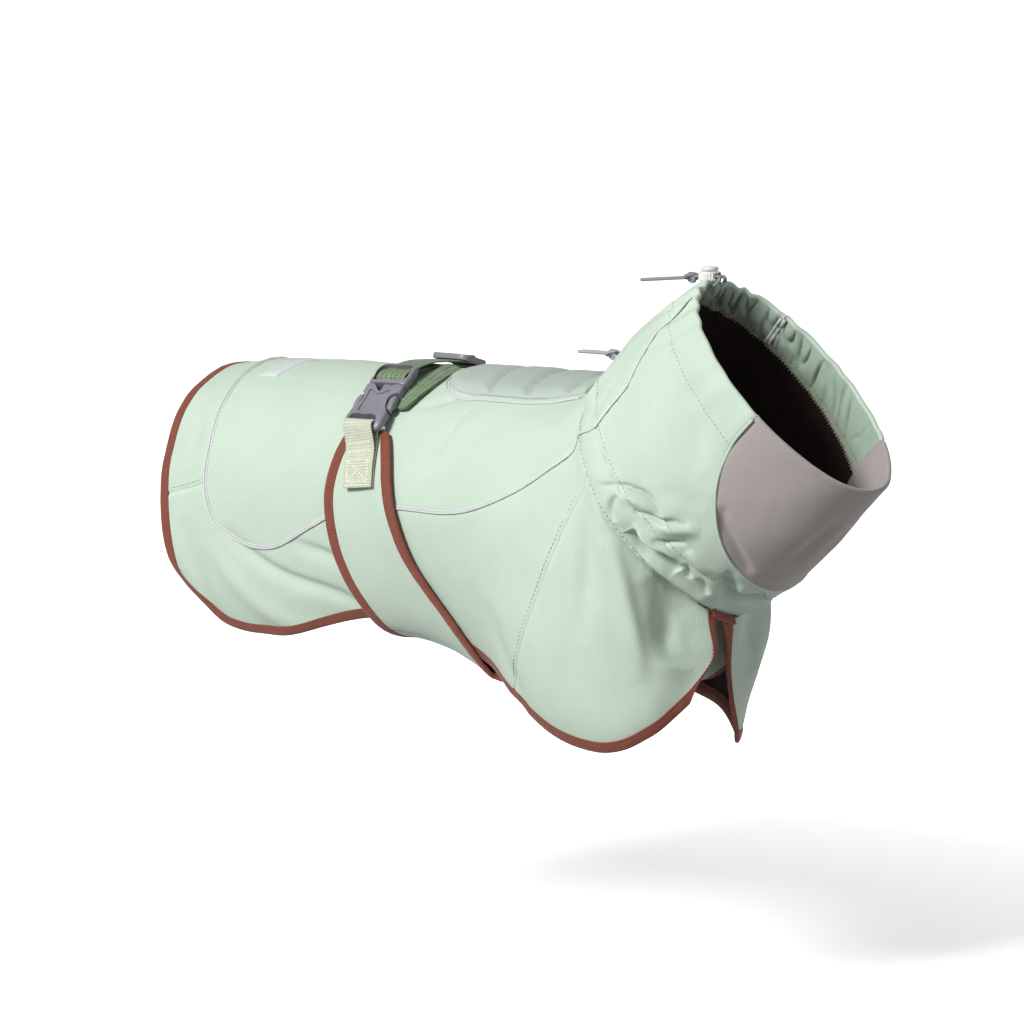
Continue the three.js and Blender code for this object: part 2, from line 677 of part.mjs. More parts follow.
const THROAT_COLUMNS = 14;
const THROAT_PIPING_STEPS = 8;
const THROAT_PIPING_SCALE = 0.7;
const THROAT_PIPING_LIFT = 0.75;
const rightSeam = (w) => tableValue(COLLAR_SEAMS, "w", w, "right");
const leftSeam = (w) => tableValue(COLLAR_SEAMS, "w", w, "left");
const throatRight = (w) => throatCentre(w) - throatHalf(w);
const throatLeft = (w) => throatCentre(w) + throatHalf(w) - 360;

function buildCollar() {
  const tunnel = [0, TUNNEL_TOP / 2, TUNNEL_TOP];
  add("neck_tunnel", wallGeometry([
    collarGrid(tunnel, () => -179.9, () => 0, 18),
    collarGrid(tunnel, () => 0, () => 179.9, 18),
  ]), "shell");
  add("collar_back", wallGeometry([collarGrid(collarStations, leftSeam, rightSeam, 8)]), "shell");
  for (const [label, seam, throat] of [["R", rightSeam, throatRight], ["L", leftSeam, throatLeft]]) {
    const middle = label === "R" ? throatCentre : (w) => throatCentre(w) - 360;
    add(`collar_side_${label}`, wallGeometry([
      collarGrid([TUNNEL_TOP, THROAT.bottom], seam, middle, 9),
      collarGrid(throatStations, seam, throat, 9),
      collarGrid(throatRim, seam, throat, 9),
    ]), "shell");
  }
  const farEdge = (w) => throatLeft(w) + 360;
  const down = Array.from({ length: THROAT_PIPING_STEPS + 1 }, (_, k) => {
    const turn = k / THROAT_PIPING_STEPS * Math.PI / 2;
    return lerp(THROAT.bottom, THROAT.widest, 1 - Math.cos(turn));
  });
  const edge = [
    ...[RIM - 0.03, ...down.slice().reverse()].map((w) => [w, throatRight(w)]),
    ...[...down.slice(1), RIM - 0.03].map((w) => [w, farEdge(w)]),
  ];
  const piping = surfaceFrames(edge, collarPoint, collarNormal, THROAT_PIPING_LIFT);
  const slim = PIPING_PROFILE.map(([x, y]) => [x * THROAT_PIPING_SCALE, y * THROAT_PIPING_SCALE]);
  add("throat_piping", sweepGeometry(piping, slim), "shell");
  add("throat_panel", wallGeometry([
    collarGrid(throatStations, throatRight, farEdge, THROAT_COLUMNS),
    collarGrid(throatRim, throatRight, farEdge, THROAT_COLUMNS),
  ]), "throat");
  buildFacing();
}

function buildFacing() {
  const lift = -CLOTH - FACING_GAP;
  const stations = [RIM - FACING_DEPTH, THROAT.widest, RIM];
  const rightEnd = () => throatRight(RIM);
  const leftEnd = () => throatLeft(RIM);
  const facing = collarGrid(stations, leftEnd, rightEnd, 26, lift);
  add("collar_facing", wallGeometry([facing]), "shell");
  const inner = collarGrid(stations, rightEnd, () => leftEnd() + 360, THROAT_COLUMNS, lift);
  add("throat_facing", wallGeometry([inner]), "throat");
}

// ---- yoke and rump patch ----
const YOKE_ROWS = YOKE_EDGE.map((row) => [row.u, row.v]);
const YOKE_STEPS = 18;
const YOKE_PIPING_END = 1.25;
const YOKE_MARGIN = 0.06;

function buildYoke() {
  const last = YOKE_ROWS.length - 1;
  const half = (side) => grid(10, 4, (i, j) => {
    const [u, v] = splineRow(YOKE_ROWS, lerp(YOKE_PAD_START, last - YOKE_PIPING_END, i));
    const edge = Math.max(0, v - YOKE_MARGIN);
    const lift = YOKE.lift + YOKE.thickness;
    return clothPoint(shellPoint, shellNormal, u, side * (edge * j || 1e-9), lift, YOKE.thickness);
  });
  add("yoke_pad", wallGeometry([half(1), half(-1)]), "yoke");
  const path = Array.from({ length: 2 * YOKE_STEPS + 1 }, (_, k) => {
    const position = (last - YOKE_PIPING_END) * Math.abs(1 - k / YOKE_STEPS);
    const [u, v] = splineRow(YOKE_ROWS, position);
    return [u, (k < YOKE_STEPS ? 1 : -1) * (Math.max(v, 0) || 1e-9)];
  });
  const frames = surfaceFrames(path, shellPoint, shellNormal, YOKE.lift);
  add("yoke_piping", sweepGeometry(frames, PIPING_PROFILE), "piping");
}

const PATCH_CORNERS = { rear: [1.1, 1.38], front: [1.16, 1.5], near: 0.62, far: 0.12 };
function buildPatch() {
  const cells = grid(3, 4, (i, j) => {
    const v = lerp(PATCH_CORNERS.far, PATCH_CORNERS.near, j);
    const from = lerp(PATCH_CORNERS.front[0], PATCH_CORNERS.rear[0], j);
    const to = lerp(PATCH_CORNERS.front[1], PATCH_CORNERS.rear[1], j);
    return clothPoint(shellPoint, shellNormal, lerp(from, to, i), v, LAYER_GAP + PATCH_THICKNESS, PATCH_THICKNESS);
  });
  add("rump_patch", wallGeometry([cells]), "patch");
}

// ---- belt, belly and bib ----
const beltSurface = lifted(shellPoint, shellNormal, BELT_LIFT);
const BELT_ROWS = BELT_EDGES.map((row) => [row.v, row.rear, row.front]);

/** (u, v) on the belt at row r, with t from its rear edge to its front edge. */
function beltUV(r, t) {
  const [v, rear, front] = splineRow(BELT_ROWS, r);
  return [lerp(rear, front, t), v];
}

/** Share of the belt's width taken up by one binding. */
function beltMargin(r) {
  const [rear, v] = beltUV(r, 0);
  const [front] = beltUV(r, 1);
  return BINDING.width / beltSurface(rear, v).distanceTo(beltSurface(front, v));
}

const BELT_TIP_START = 0.42;
const BELT_STEPS = { arm: 14, belly: 4 };
function beltGrid(from, to, side, rows) {
  return grid(rows, 4, (i, j) => {
    const r = lerp(from, to, i);
    const margin = beltMargin(r);
    const [u, v] = beltUV(r, lerp(margin, 1 - margin, j));
    return clothPoint(shellPoint, shellNormal, u, side * v, BELT_LIFT);
  });
}

/** Row of the bib: 0 is the belly seam and the last row is the neck seam. */
function bibRows() {
  const [footU, footV] = beltUV(BELT_FOOT, 1);
  const [middleU, middleV] = beltUV(BELT_EDGES.length - 1, 1);
  const edge = beltSurface(footU, footV);
  const middle = beltSurface(middleU, middleV);
  const first = [middle.x, middle.z, edge.x, -edge.y, edge.z];
  const depth = CLOTH * 2 + LAYER_GAP;
  const topMiddle = neckPoint(180).addScaledVector(neckRadial(180), -depth);
  const topEdge = neckPoint(142).addScaledVector(neckRadial(142), -depth);
  const last = [topMiddle.x, topMiddle.z, topEdge.x, -topEdge.y, topEdge.z];
  return [first, ...BIB_ROWS.map((row) => [...row.middle, ...row.edge]), last];
}
const BIB = bibRows();

/** Bib surface; t runs from -1 on the left edge to 1 on the right edge. */
function bibPoint(r, t) {
  const [x, z, edgeX, edgeY, edgeZ] = splineRow(BIB, r);
  const drop = Math.abs(t) ** 2;
  return vec(lerp(x, edgeX, drop), -t * edgeY, lerp(z, edgeZ, drop));
}

function bibNormal(r, t) {
  const inside = clamp(r, 0.02, BIB.length - 1.02);
  return surfaceNormal(bibPoint, inside, t, 0.02, 0.02).negate();
}

const BIB_STEPS = 12;
const BIB_START = 0.08;
const bibMargin = (r) => BINDING.width / splineRow(BIB, r)[3];

function buildBelt() {
  for (const [label, side] of [["R", 1], ["L", -1]]) {
    add(`belt_${label}`, wallGeometry([beltGrid(BELT_TIP_START, BELT_FOOT, side, BELT_STEPS.arm)]), "shell");
  }
  const last = BELT_EDGES.length - 1;
  const belly = [1, -1].map((side) => beltGrid(BELT_FOOT, last, side, BELT_STEPS.belly));
  add("belly_panel", wallGeometry(belly), "shell");
  add("chest_bib", wallGeometry([grid(BIB_STEPS, 6, (i, j) => {
    const r = lerp(BIB_START, BIB.length - 1, i);
    const margin = bibMargin(r);
    return clothPoint(bibPoint, bibNormal, r, lerp(-1 + margin, 1 - margin, j));
  })]), "shell");
}

/** Frames along one edge of the belt: t is 0 on the rear edge and 1 on the front edge. */
function beltEdgeFrames(t, side, withBelly) {
  const last = BELT_EDGES.length - 1;
  const arm = Array.from({ length: BELT_STEPS.arm + 1 }, (_, k) => lerp(BELT_TIP_START, BELT_FOOT, k / BELT_STEPS.arm));
  const belly = Array.from({ length: BELT_STEPS.belly }, (_, k) => lerp(BELT_FOOT, last, (k + 1) / BELT_STEPS.belly));
  return [...arm, ...(withBelly ? belly : [])].map((r) => {
    const margin = beltMargin(r);
    const [u, v] = beltUV(r, t === 0 ? margin : 1 - margin);
    const [edgeU, edgeV] = beltUV(r, t);
    const point = beltSurface(u, side * v);
    const out = shellNormal(u, side * v);
    const across = beltSurface(edgeU, side * edgeV).sub(point);
    across.addScaledVector(out, -across.dot(out)).normalize();
    return { point, out, across };
  });
}

function bibEdgeFrames(side) {
  const stations = Array.from({ length: BIB_STEPS }, (_, k) => lerp(BIB_START, BIB.length - 1, k / BIB_STEPS));
  return stations.slice(1).map((r) => {
    const t = side * (1 - bibMargin(r));
    const point = bibPoint(r, t);
    const out = bibNormal(r, t);
    const across = bibPoint(r, side).sub(point);
    across.addScaledVector(out, -across.dot(out)).normalize();
    return { point, out, across };
  });
}

function buildBeltBinding() {
  const profile = bindingProfile(BINDING.width, 1);
  const right = beltEdgeFrames(0, 1, true);
  const left = beltEdgeFrames(0, -1, true).reverse();
  add("belt_binding_rear", sweepGeometry([...right, ...left.slice(1)], profile), "binding");
  for (const [label, side] of [["R", 1], ["L", -1]]) {
    const front = sweepGeometry([...beltEdgeFrames(1, side, false), ...bibEdgeFrames(side)], profile);
    add(`belt_binding_front_${label}`, front, "binding");
  }
}

// ---- buckle, webbing and tri-glide ----
const BUCKLE = {
  u: 3.41, v: 0.91, lift: 2,
  width: 33, height: 9, joint: -10, frontEnd: 31, rearEnd: -31,
  slot: 5, bar: 4, cavity: [2, 7],
};

/** Frame on the shell: x runs down the side, y towards the head, z outwards. */
function surfaceMatrix(u, v, lift) {
  const out = shellNormal(u, v);
  const down = shellPoint(u, v + 0.05).sub(shellPoint(u, v - 0.05));
  down.addScaledVector(out, -down.dot(out)).normalize();
  const origin = shellPoint(u, v).addScaledVector(out, lift);
  return new THREE.Matrix4().makeBasis(down, out.clone().cross(down), out).setPosition(origin);
}
const BUCKLE_PLACE = surfaceMatrix(BUCKLE.u, BUCKLE.v, BUCKLE.lift);

function femaleBuckle() {
  const { width, height, joint, frontEnd, slot, bar, cavity } = BUCKLE;
  const length = frontEnd - joint;
  const body = roundedPlate(length, width, 5, 0, height).translate((frontEnd + joint) / 2, 0, 0);
  const half = width / 2;
  const slotEnd = frontEnd - bar;
  return cut(
    body,
    block([joint - 1, -half + 2.6, cavity[0]], [slotEnd - slot - 3, half - 2.6, cavity[1]]),
    block([0, -half - 1, cavity[0] - 1], [14, -half + 5.4, cavity[1] + 1]),
    block([0, half - 5.4, cavity[0] - 1], [14, half + 1, cavity[1] + 1]),
    block([slotEnd - slot, -WEBBING.width / 2 - 1, -1], [slotEnd, WEBBING.width / 2 + 1, height + 1]),
    block([slotEnd - 1, -half - 1, cavity[1]], [frontEnd + 1, half + 1, height + 1]),
    block([slotEnd - 1, -half - 1, -1], [frontEnd + 1, half + 1, cavity[0]]),
  );
}

function maleBuckle() {
  const { width, height, joint, rearEnd, slot, bar, cavity } = BUCKLE;
  const end = joint - SEAM_GAP;
  const half = width / 2;
  const base = roundedPlate(end - rearEnd, width, 4, 0, height).translate((end + rearEnd) / 2, 0, 0);
  const slotStart = rearEnd + bar;
  const low = cavity[0] + 0.5;
  const high = cavity[1] - 0.5;
  const body = cut(
    base,
    block([slotStart, -WEBBING.width / 2 - 1, -1], [slotStart + slot, WEBBING.width / 2 + 1, height + 1]),
    block([rearEnd - 1, -half - 1, cavity[1]], [slotStart + 1, half + 1, height + 1]),
    block([rearEnd - 1, -half - 1, -1], [slotStart + 1, half + 1, cavity[0]]),
  );
  const arms = [-1, 1].flatMap((sign) => {
    const across = (near, far) => [Math.min(sign * near, sign * far), Math.max(sign * near, sign * far)];
    const [armLow, armHigh] = across(half - 5.6, half - 3.2);
    const [padLow, padHigh] = across(half - 5.6, half + 0.8);
    return [
      block([end - 2, armLow, low], [5, armHigh, high]),
      block([1, padLow, low], [13, padHigh, high]),
    ];
  });
  return join(body, block([end - 2, -2.5, low], [15, 2.5, high]), ...arms);
}

/** Flat ribbon along points given by hand, its width along one fixed direction. */
function ribbonGeometry(points, across, width, thickness, steps) {
  const curve = new THREE.CatmullRomCurve3(points, false, "centripetal");
  const frames = Array.from({ length: steps + 1 }, (_, k) => {
    const point = curve.getPointAt(k / steps);
    const along = curve.getTangentAt(k / steps);
    const side = across.clone().addScaledVector(along, -across.dot(along)).normalize();
    return { point, across: side, out: side.clone().cross(along).normalize() };
  });
  const x = width / 2;
  const y = thickness / 2;
  return sweepGeometry(frames, [[-x, -y], [x, -y], [x, y], [-x, y]]);
}

/** Points above the shell: rows of u, v and the height over the shell's outer face. */
const overShell = (rows) => rows.map(({ u, v, up }) => lifted(shellPoint, shellNormal, up)(u, v));
/** Points in the buckle's own frame. */
const atBuckle = (rows) => rows.map(([x, z]) => vec(x, 0, z).applyMatrix4(BUCKLE_PLACE));

const LOWER_ON_BELT = BELT_LIFT + BINDING.proud + LAYER_GAP + WEBBING.thickness / 2;
const UPPER_ON_BELT = LOWER_ON_BELT + WEBBING.thickness + LAYER_GAP;
const TRI_GLIDE = { u: 3.52, v: -0.3, lift: 4.6, length: 27, width: 33, thickness: 3, bar: 4.5 };

function buildBuckle() {
  const female = add("buckle_female", femaleBuckle(), "buckle");
  const male = add("buckle_male", maleBuckle(), "buckle");
  for (const mesh of [female, male]) mesh.applyMatrix4(BUCKLE_PLACE);
  const across = vec(1, 0, 0).transformDirection(
    new THREE.Matrix4().makeBasis(
      new THREE.Vector3().setFromMatrixColumn(BUCKLE_PLACE, 1),
      new THREE.Vector3().setFromMatrixColumn(BUCKLE_PLACE, 0),
      new THREE.Vector3().setFromMatrixColumn(BUCKLE_PLACE, 2),
    ),
  );
  const barMiddle = (BUCKLE.cavity[0] + BUCKLE.cavity[1]) / 2;
  const slotMiddle = BUCKLE.frontEnd - BUCKLE.bar - BUCKLE.slot / 2;
  const loop = [
    ...overShell([
      { u: 3.52, v: 1.84, up: LOWER_ON_BELT },
      { u: 3.5, v: 1.66, up: LOWER_ON_BELT },
      { u: 3.47, v: 1.48, up: LOWER_ON_BELT },
    ]),
    ...atBuckle([[30, -0.6], [26, 0.2], [slotMiddle, barMiddle], [26, 8.9], [31, 8.6]]),
    ...overShell([
      { u: 3.47, v: 1.48, up: UPPER_ON_BELT + 0.8 },
      { u: 3.5, v: 1.66, up: UPPER_ON_BELT },
      { u: 3.52, v: 1.84, up: UPPER_ON_BELT },
    ]),
  ];
  add("belt_loop", ribbonGeometry(loop, across, WEBBING.width, WEBBING.thickness, 30), "paleWebbing");
}

const STRAP_HEIGHT = { low: 2 * LAYER_GAP + WEBBING.thickness / 2 };
STRAP_HEIGHT.high = STRAP_HEIGHT.low + WEBBING.thickness + LAYER_GAP;

function buildStrap() {
  const place = surfaceMatrix(TRI_GLIDE.u, TRI_GLIDE.v, TRI_GLIDE.lift);
  const { length, width, thickness, bar } = TRI_GLIDE;
  const opening = (length - 3 * bar) / 2;
  const half = WEBBING.width / 2 + 0.8;
  const frame = cut(
    roundedPlate(length, width, 3, 0, thickness),
    block([-bar / 2 - opening, -half, -1], [-bar / 2, half, thickness + 1]),
    block([bar / 2, -half, -1], [bar / 2 + opening, half, thickness + 1]),
  );
  add("tri_glide", frame, "buckle").applyMatrix4(place);
  const across = new THREE.Vector3().setFromMatrixColumn(BUCKLE_PLACE, 1);
  const slotMiddle = BUCKLE.rearEnd + BUCKLE.bar + BUCKLE.slot / 2;
  const barMiddle = (BUCKLE.cavity[0] + BUCKLE.cavity[1]) / 2;
  const overGlide = TRI_GLIDE.lift + thickness + LAYER_GAP + WEBBING.thickness / 2;
  const strap = [
    ...overShell([
      { u: 3.5, v: -1.75, up: LOWER_ON_BELT },
      { u: 3.5, v: -1.4, up: LOWER_ON_BELT },
      { u: 3.5, v: -1.1, up: LOWER_ON_BELT + 0.2 },
      { u: 3.52, v: -0.7, up: STRAP_HEIGHT.low },
      { u: 3.5, v: -0.3, up: STRAP_HEIGHT.low },
      { u: 3.42, v: 0.02, up: STRAP_HEIGHT.low },
      { u: 3.33, v: 0.22, up: STRAP_HEIGHT.low + 0.4 },
    ]),
    ...atBuckle([[-30, -0.6], [-26, 0.2], [slotMiddle, barMiddle], [-26, 8.9], [-31, 8.6]]),
    ...overShell([
      { u: 3.36, v: 0.14, up: STRAP_HEIGHT.high + 6 },
      { u: 3.42, v: -0.02, up: overGlide + 2.2 },
      { u: 3.49, v: -0.18, up: overGlide + 0.8 },
      { u: 3.52, v: -0.38, up: overGlide + 0.2 },
    ]),
  ];
  add("strap_back", ribbonGeometry(strap, across, WEBBING.width, WEBBING.thickness, 52), "darkWebbing");
}

const STRAP_TAIL = [
  { u: 3.84, v: 0.1, up: 1.4 },
  { u: 3.86, v: 0.3, up: 1.4 },
  { u: 3.87, v: 0.5, up: 1.4 },
  { u: 3.87, v: 0.72, up: 1.6 },
  { u: 3.86, v: 0.93, up: 2.6 },
];
const TAIL_WIDTH = 10;
function buildTail() {
  const across = new THREE.Vector3().setFromMatrixColumn(BUCKLE_PLACE, 1);
  const ribbon = ribbonGeometry(overShell(STRAP_TAIL), across, TAIL_WIDTH, WEBBING.thickness, 12);
  add("strap_tail", ribbon, "darkWebbing");
}

// ---- drawcords ----
const COLLAR_LOCK = {
  at: [237, 0, 68.4], radius: 7.6, height: 6.8, buttonRadius: 5.8, buttonHeight: 2.8,
  channelHalf: 3.4, channel: [1.7, 5.5],
};
// Route of one strand, with y as its distance from the middle.
const COLLAR_CORD = [
  [242, 3.7, 65.3], [244.2, 3.7, 66.5], [246.3, 3.5, 68.1], [247.5, 3.1, 70], [246.6, 2.4, 71.6], [244, 1.7, 72],
  [239, 1.55, 72], [234, 1.55, 72], [229, 1.55, 71.8], [224.5, 1.55, 71.2], [220, 1.6, 70.6], [214, 1.8, 70.1],
  [207, 2, 69.6], [200, 2.1, 69.1], [193, 2.1, 68.6], [186, 2.1, 68.1], [180, 2.1, 67.7],
];
const NAPE_CORD = [
  [167.8, 4.3, 9.7], [166.1, 3.9, 10.8], [164.2, 3.3, 12.1], [162.2, 2.6, 13.5], [160.2, 2, 14.8], [158, 1.6, 15.9],
  [155.5, 1.55, 16.6],
  [152.5, 1.55, 16.9], [149.5, 1.6, 17], [146, 1.8, 17.1], [142, 2, 17.2], [138, 2.1, 17.3],
  [134, 2.1, 17.3], [130, 2.1, 17.3], [126, 2.1, 17.2],
];
const KNOTS = { collar: [222.2, 0, 70.9], nape: [155.2, 0, 16.6], radii: [4.6, 5.2, 4.2] };

function cordGeometry(route, side, radius) {
  const points = route.map(([x, y, z]) => vec(x, side * y, z));
  const shape = new THREE.Shape();
  for (let k = 0; k < CORD.sides; k += 1) {
    const turn = k * 2 * Math.PI / CORD.sides;
    const move = k === 0 ? "moveTo" : "lineTo";
    shape[move](radius * Math.cos(turn), radius * Math.sin(turn));
  }
  const path = new THREE.CatmullRomCurve3(points, false, "centripetal");
  const settings = { steps: route.length, bevelEnabled: false, extrudePath: path };
  return new THREE.ExtrudeGeometry(shape, settings);
}

function buildCords() {
  const clearance = 0.35;
  for (const [name, route] of [["collar", COLLAR_CORD], ["nape", NAPE_CORD]]) {
    const knot = new THREE.SphereGeometry(1, 8, 6).scale(...KNOTS.radii).translate(...KNOTS[name]);
    const bores = [1, -1].map((side) => cordGeometry(route, side, CORD.radius + clearance));
    add(`${name}_cord_knot`, cut(knot, ...bores), "cord");
    for (const [label, side] of [["R", -1], ["L", 1]]) {
      add(`${name}_cord_${label}`, cordGeometry(route, side, CORD.radius), "cord");
    }
  }
  const { at, radius, height, buttonRadius, buttonHeight, channelHalf, channel } = COLLAR_LOCK;
  const barrel = new THREE.CylinderGeometry(radius, radius, height, 20).rotateX(Math.PI / 2)
    .translate(at[0], at[1], at[2] + height / 2);
  const bore = block(
    [at[0] - 2 * radius, -channelHalf, at[2] + channel[0]],
    [at[0] + 2 * radius, channelHalf, at[2] + channel[1]],
  );
  add("collar_lock_body", cut(barrel, bore), "lock");
  const button = new THREE.CylinderGeometry(buttonRadius, buttonRadius, buttonHeight, 20).rotateX(Math.PI / 2)
    .translate(at[0], at[1], at[2] + height + SEAM_GAP + buttonHeight / 2);
  add("collar_lock_button", button, "lock");
}

buildShell();
buildHemBinding();
buildSlitBridge();
buildPiping();
buildCollar();
buildYoke();
buildPatch();
buildBelt();
buildBeltBinding();
buildBuckle();
buildStrap();
buildTail();
buildCords();

export default jacket;
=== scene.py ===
import logging
import math
from dataclasses import dataclass
from enum import Enum
from typing import Callable, Sequence

import bpy
import numpy as np
from mathutils import Matrix


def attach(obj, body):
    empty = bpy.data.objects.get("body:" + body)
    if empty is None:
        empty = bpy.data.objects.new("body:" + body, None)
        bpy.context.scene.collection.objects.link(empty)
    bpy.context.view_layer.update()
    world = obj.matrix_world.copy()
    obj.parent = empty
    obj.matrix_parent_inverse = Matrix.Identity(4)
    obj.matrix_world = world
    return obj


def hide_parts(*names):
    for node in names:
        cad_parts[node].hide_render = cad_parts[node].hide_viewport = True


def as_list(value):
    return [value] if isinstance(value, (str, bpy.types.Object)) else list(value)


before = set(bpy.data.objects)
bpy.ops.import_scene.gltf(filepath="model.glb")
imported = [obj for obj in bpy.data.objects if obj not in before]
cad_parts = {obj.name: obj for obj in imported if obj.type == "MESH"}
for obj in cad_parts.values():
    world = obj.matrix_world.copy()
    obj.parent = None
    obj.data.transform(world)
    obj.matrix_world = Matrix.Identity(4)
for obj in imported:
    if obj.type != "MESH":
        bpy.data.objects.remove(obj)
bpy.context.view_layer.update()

Array = np.ndarray
Pair = tuple[Array, Array]
Range = tuple[float, float]
Tree = bpy.types.NodeTree
Socket = bpy.types.NodeSocket
Thing = bpy.types.Object
log = logging.getLogger("jacket")
METRES = 0.001
BODY = "root"

# ---- sizes shared with the frame ----
CLOTH = 1.6
LAYER_GAP = 0.45
BINDING_WIDTH = 9.0
BINDING_PROUD = 0.8
BELT_LIFT = 4.6
FACING_DEPTH = 0.55
WEBBING_WIDTH = 25.0
WEBBING_THICKNESS = 1.5
RIM = 3.0
NECK_RIB = 6.0
LAST_RIB = 10.0
HEM = 3.0
NUDGE = 1e-9
UNDER_BINDING = BINDING_WIDTH - 1.2
WHITE = (1.0, 1.0, 1.0, 1.0)

# Ribs: spine x and z, then [x, y, z] of the widest point and of the hem with y measured
# outwards, then the belly's middle x and z.
RIBS = np.array([
    (-196, -5, -194, 82, -88, -182, 79, -147, -165, -185),
    (-140, 1, -141, 86, -90, -141, 75, -183, -130, -210),
    (-80, 2, -83, 86, -90, -86, 70, -188, -78, -210),
    (-27, 1, -24, 84, -88, -14, 64, -172, -8, -181),
    (30, 0, 32, 85, -92, 47, 61, -174, 30, -184),
    (85, 0, 90, 88, -98, 98, 61, -194, 88, -203),
    (163, 0, 140, 93, -110, 134, 76, -213, 134, -226),
    (241, 0, 183, 95, -135, 177, 83, -234, 177, -262),
    (319, 0, 222, 88, -165, 215, 79, -240, 215, -268),
    (397, 0, 250, 64, -180, 242, 68, -228, 240, -262),
    (475, 0, 264, 24, -176, 261, 44, -203, 260, -230),
], float)
NECK_ANGLES = np.array([0, 0, 0, 0, 0, 0, 0, 42, 92, 142, 163], float)
# The left flap hangs straighter: rib, first column, values.
LEFT_CHANGES = (
    (7, 5, (168, 76, -222)),
    (8, 2, (222, 78, -165)),
    (8, 5, (200, 62, -228)),
    (9, 2, (251, 40, -190)),
    (9, 5, (228, 44, -243)),
    (10, 2, (262, -10, -190)),
    (10, 5, (254, 13, -242)),
)
LEFT_NECK_ANGLES = {9: 152.0, 10: 195.0}

# Collar rings: top x and z, bottom x and z, half width, power of the lower half.
RINGS = np.array([
    (163, 0, 263, -153, 89, 1.55),
    (172, 15, 287, -141, 87, 1.75),
    (200, 46, 327, -109, 72, 2),
    (240, 68, 371, -65, 63, 2),
], float)

# Cut lines of the shell: inner (u, v), hem (u, v) and bow.
CUT_LINES = np.array([
    (0.72, 0, 0, 0, 1),
    (0.76, 0.5, 0, 0.6, 1),
    (0.84, 1.05, 0, 1.25, 1),
    (0.88, 1.55, 0, 1.75, 1),
    (0.9, 1.92, 0, 2.12, 1),
    (1.05, 2.18, 0, 2.6, 1),
    (1.3, 2.28, 0.06, 3, 1),
    (1.65, 2.34, 0.7, 3, 1),
    (2.1, 2.34, 1.45, 3, 1),
    (2.6, 2.22, 2.2, 3, 1),
    (3.2, 2.06, 2.95, 3, 1),
    (4, 1.96, 3.7, 3, 1),
    (4.8, 1.91, 4.4, 3, 1),
    (5.4, 1.78, 4.85, 3, 1.05),
    (5.9, 1.58, 5.15, 3, 1.1),
    (6.4, 1.28, 5.35, 3, 1.25),
    (6.82, 0.92, 5.5, 3, 1.4),
    (7.1, 0.5, 5.62, 3, 1.5),
    (7.25, 0, 5.74, 3, 1.55),
    (7.65, 0, 5.9, 3, 1.6),
    (8.15, 0, 6.7, 3, 1.4),
    (8.65, 0, 7.55, 3, 1.2),
    (9.05, 0, 8.4, 3, 1.1),
    (9.22, 0, 9.2, 3, 1),
    (9.32, 0, 9.84, 3, 1),
    (9.4, 0, 10, 2.5, 1),
    (9.44, 0, 10, 1.8, 1),
    (9.47, 0, 10, 1.1, 1),
    (9.49, 0, 10, 0.55, 1),
    (9.5, 0, 10, 0.2, 1),
], float)


class Line(float, Enum):
    """Cut lines at which a piece of the shell begins or ends."""

    TAIL = 0.0
    RUMP_SEAM = 4.0
    REAR_CORNER = 6.0
    NECK = 18.0
    SHOULDER_SEAM = 19.0
    SLIT_FOOT = 24.0
    SLIT = 29.0


class Side(Enum):
    """The dog's right or left side, with its letter in the frame and its sign of v."""

    RIGHT = ("R", 1.0)
    LEFT = ("L", -1.0)

    @property
    def letter(self) -> str:
        """The letter at the end of the side's node names."""
        return self.value[0]

    @property
    def sign(self) -> float:
        """+1 on the right and -1 on the left."""
        return self.value[1]


# ---- arithmetic on whole arrays ----
def unit(vectors: Array) -> Array:
    """Unit vectors along the last axis."""
    return vectors / np.maximum(np.linalg.norm(vectors, axis=-1, keepdims=True), 1e-12)


def lerp(a: Array, b: Array, t: Array) -> Array:
    """Straight mix: a at t = 0, b at t = 1."""
    return a + (b - a) * t


def pair(a: Array, b: Array) -> Pair:
    """Two parameters as floats of one shape."""
    return tuple(np.broadcast_arrays(np.asarray(a, float), np.asarray(b, float)))


def grid(down: Array, across: Array) -> Pair:
    """Places of a grid, down its rows and across its columns."""
    return pair(down[:, None], across)


def rounded(wave: Array, power: Array) -> Array:
    """sign(wave) |wave|^power, as in a superellipse."""
    return np.sign(wave) * np.abs(wave) ** power


def catmull(a: Array, b: Array, c: Array, d: Array, f: Array) -> Array:
    """Catmull-Rom at share f from b to c, between a and d."""
    cubic = (3 * b - a - 3 * c + d) * f**3
    return 0.5 * (2 * b + (c - a) * f + (2 * a - 5 * b + 4 * c - d) * f**2 + cubic)


def spline_rows(rows: Array, at: Array) -> Array:
    """Catmull-Rom through a table's rows, each row one knot.

    Args:
        rows: the table.
        at: places from 0 to the last row's number, of any shape.

    Returns:
        The table's value at each place, columns last.
    """
    rows = np.asarray(rows, float)
    last = len(rows) - 1
    at = np.clip(np.asarray(at, float), 0, last)
    i = np.minimum(at.astype(int), last - 1)
    full = np.concatenate([[2 * rows[0] - rows[1]], rows, [2 * rows[-1] - rows[-2]]])
    return catmull(*(full[i + k] for k in range(4)), (at - i)[..., None])


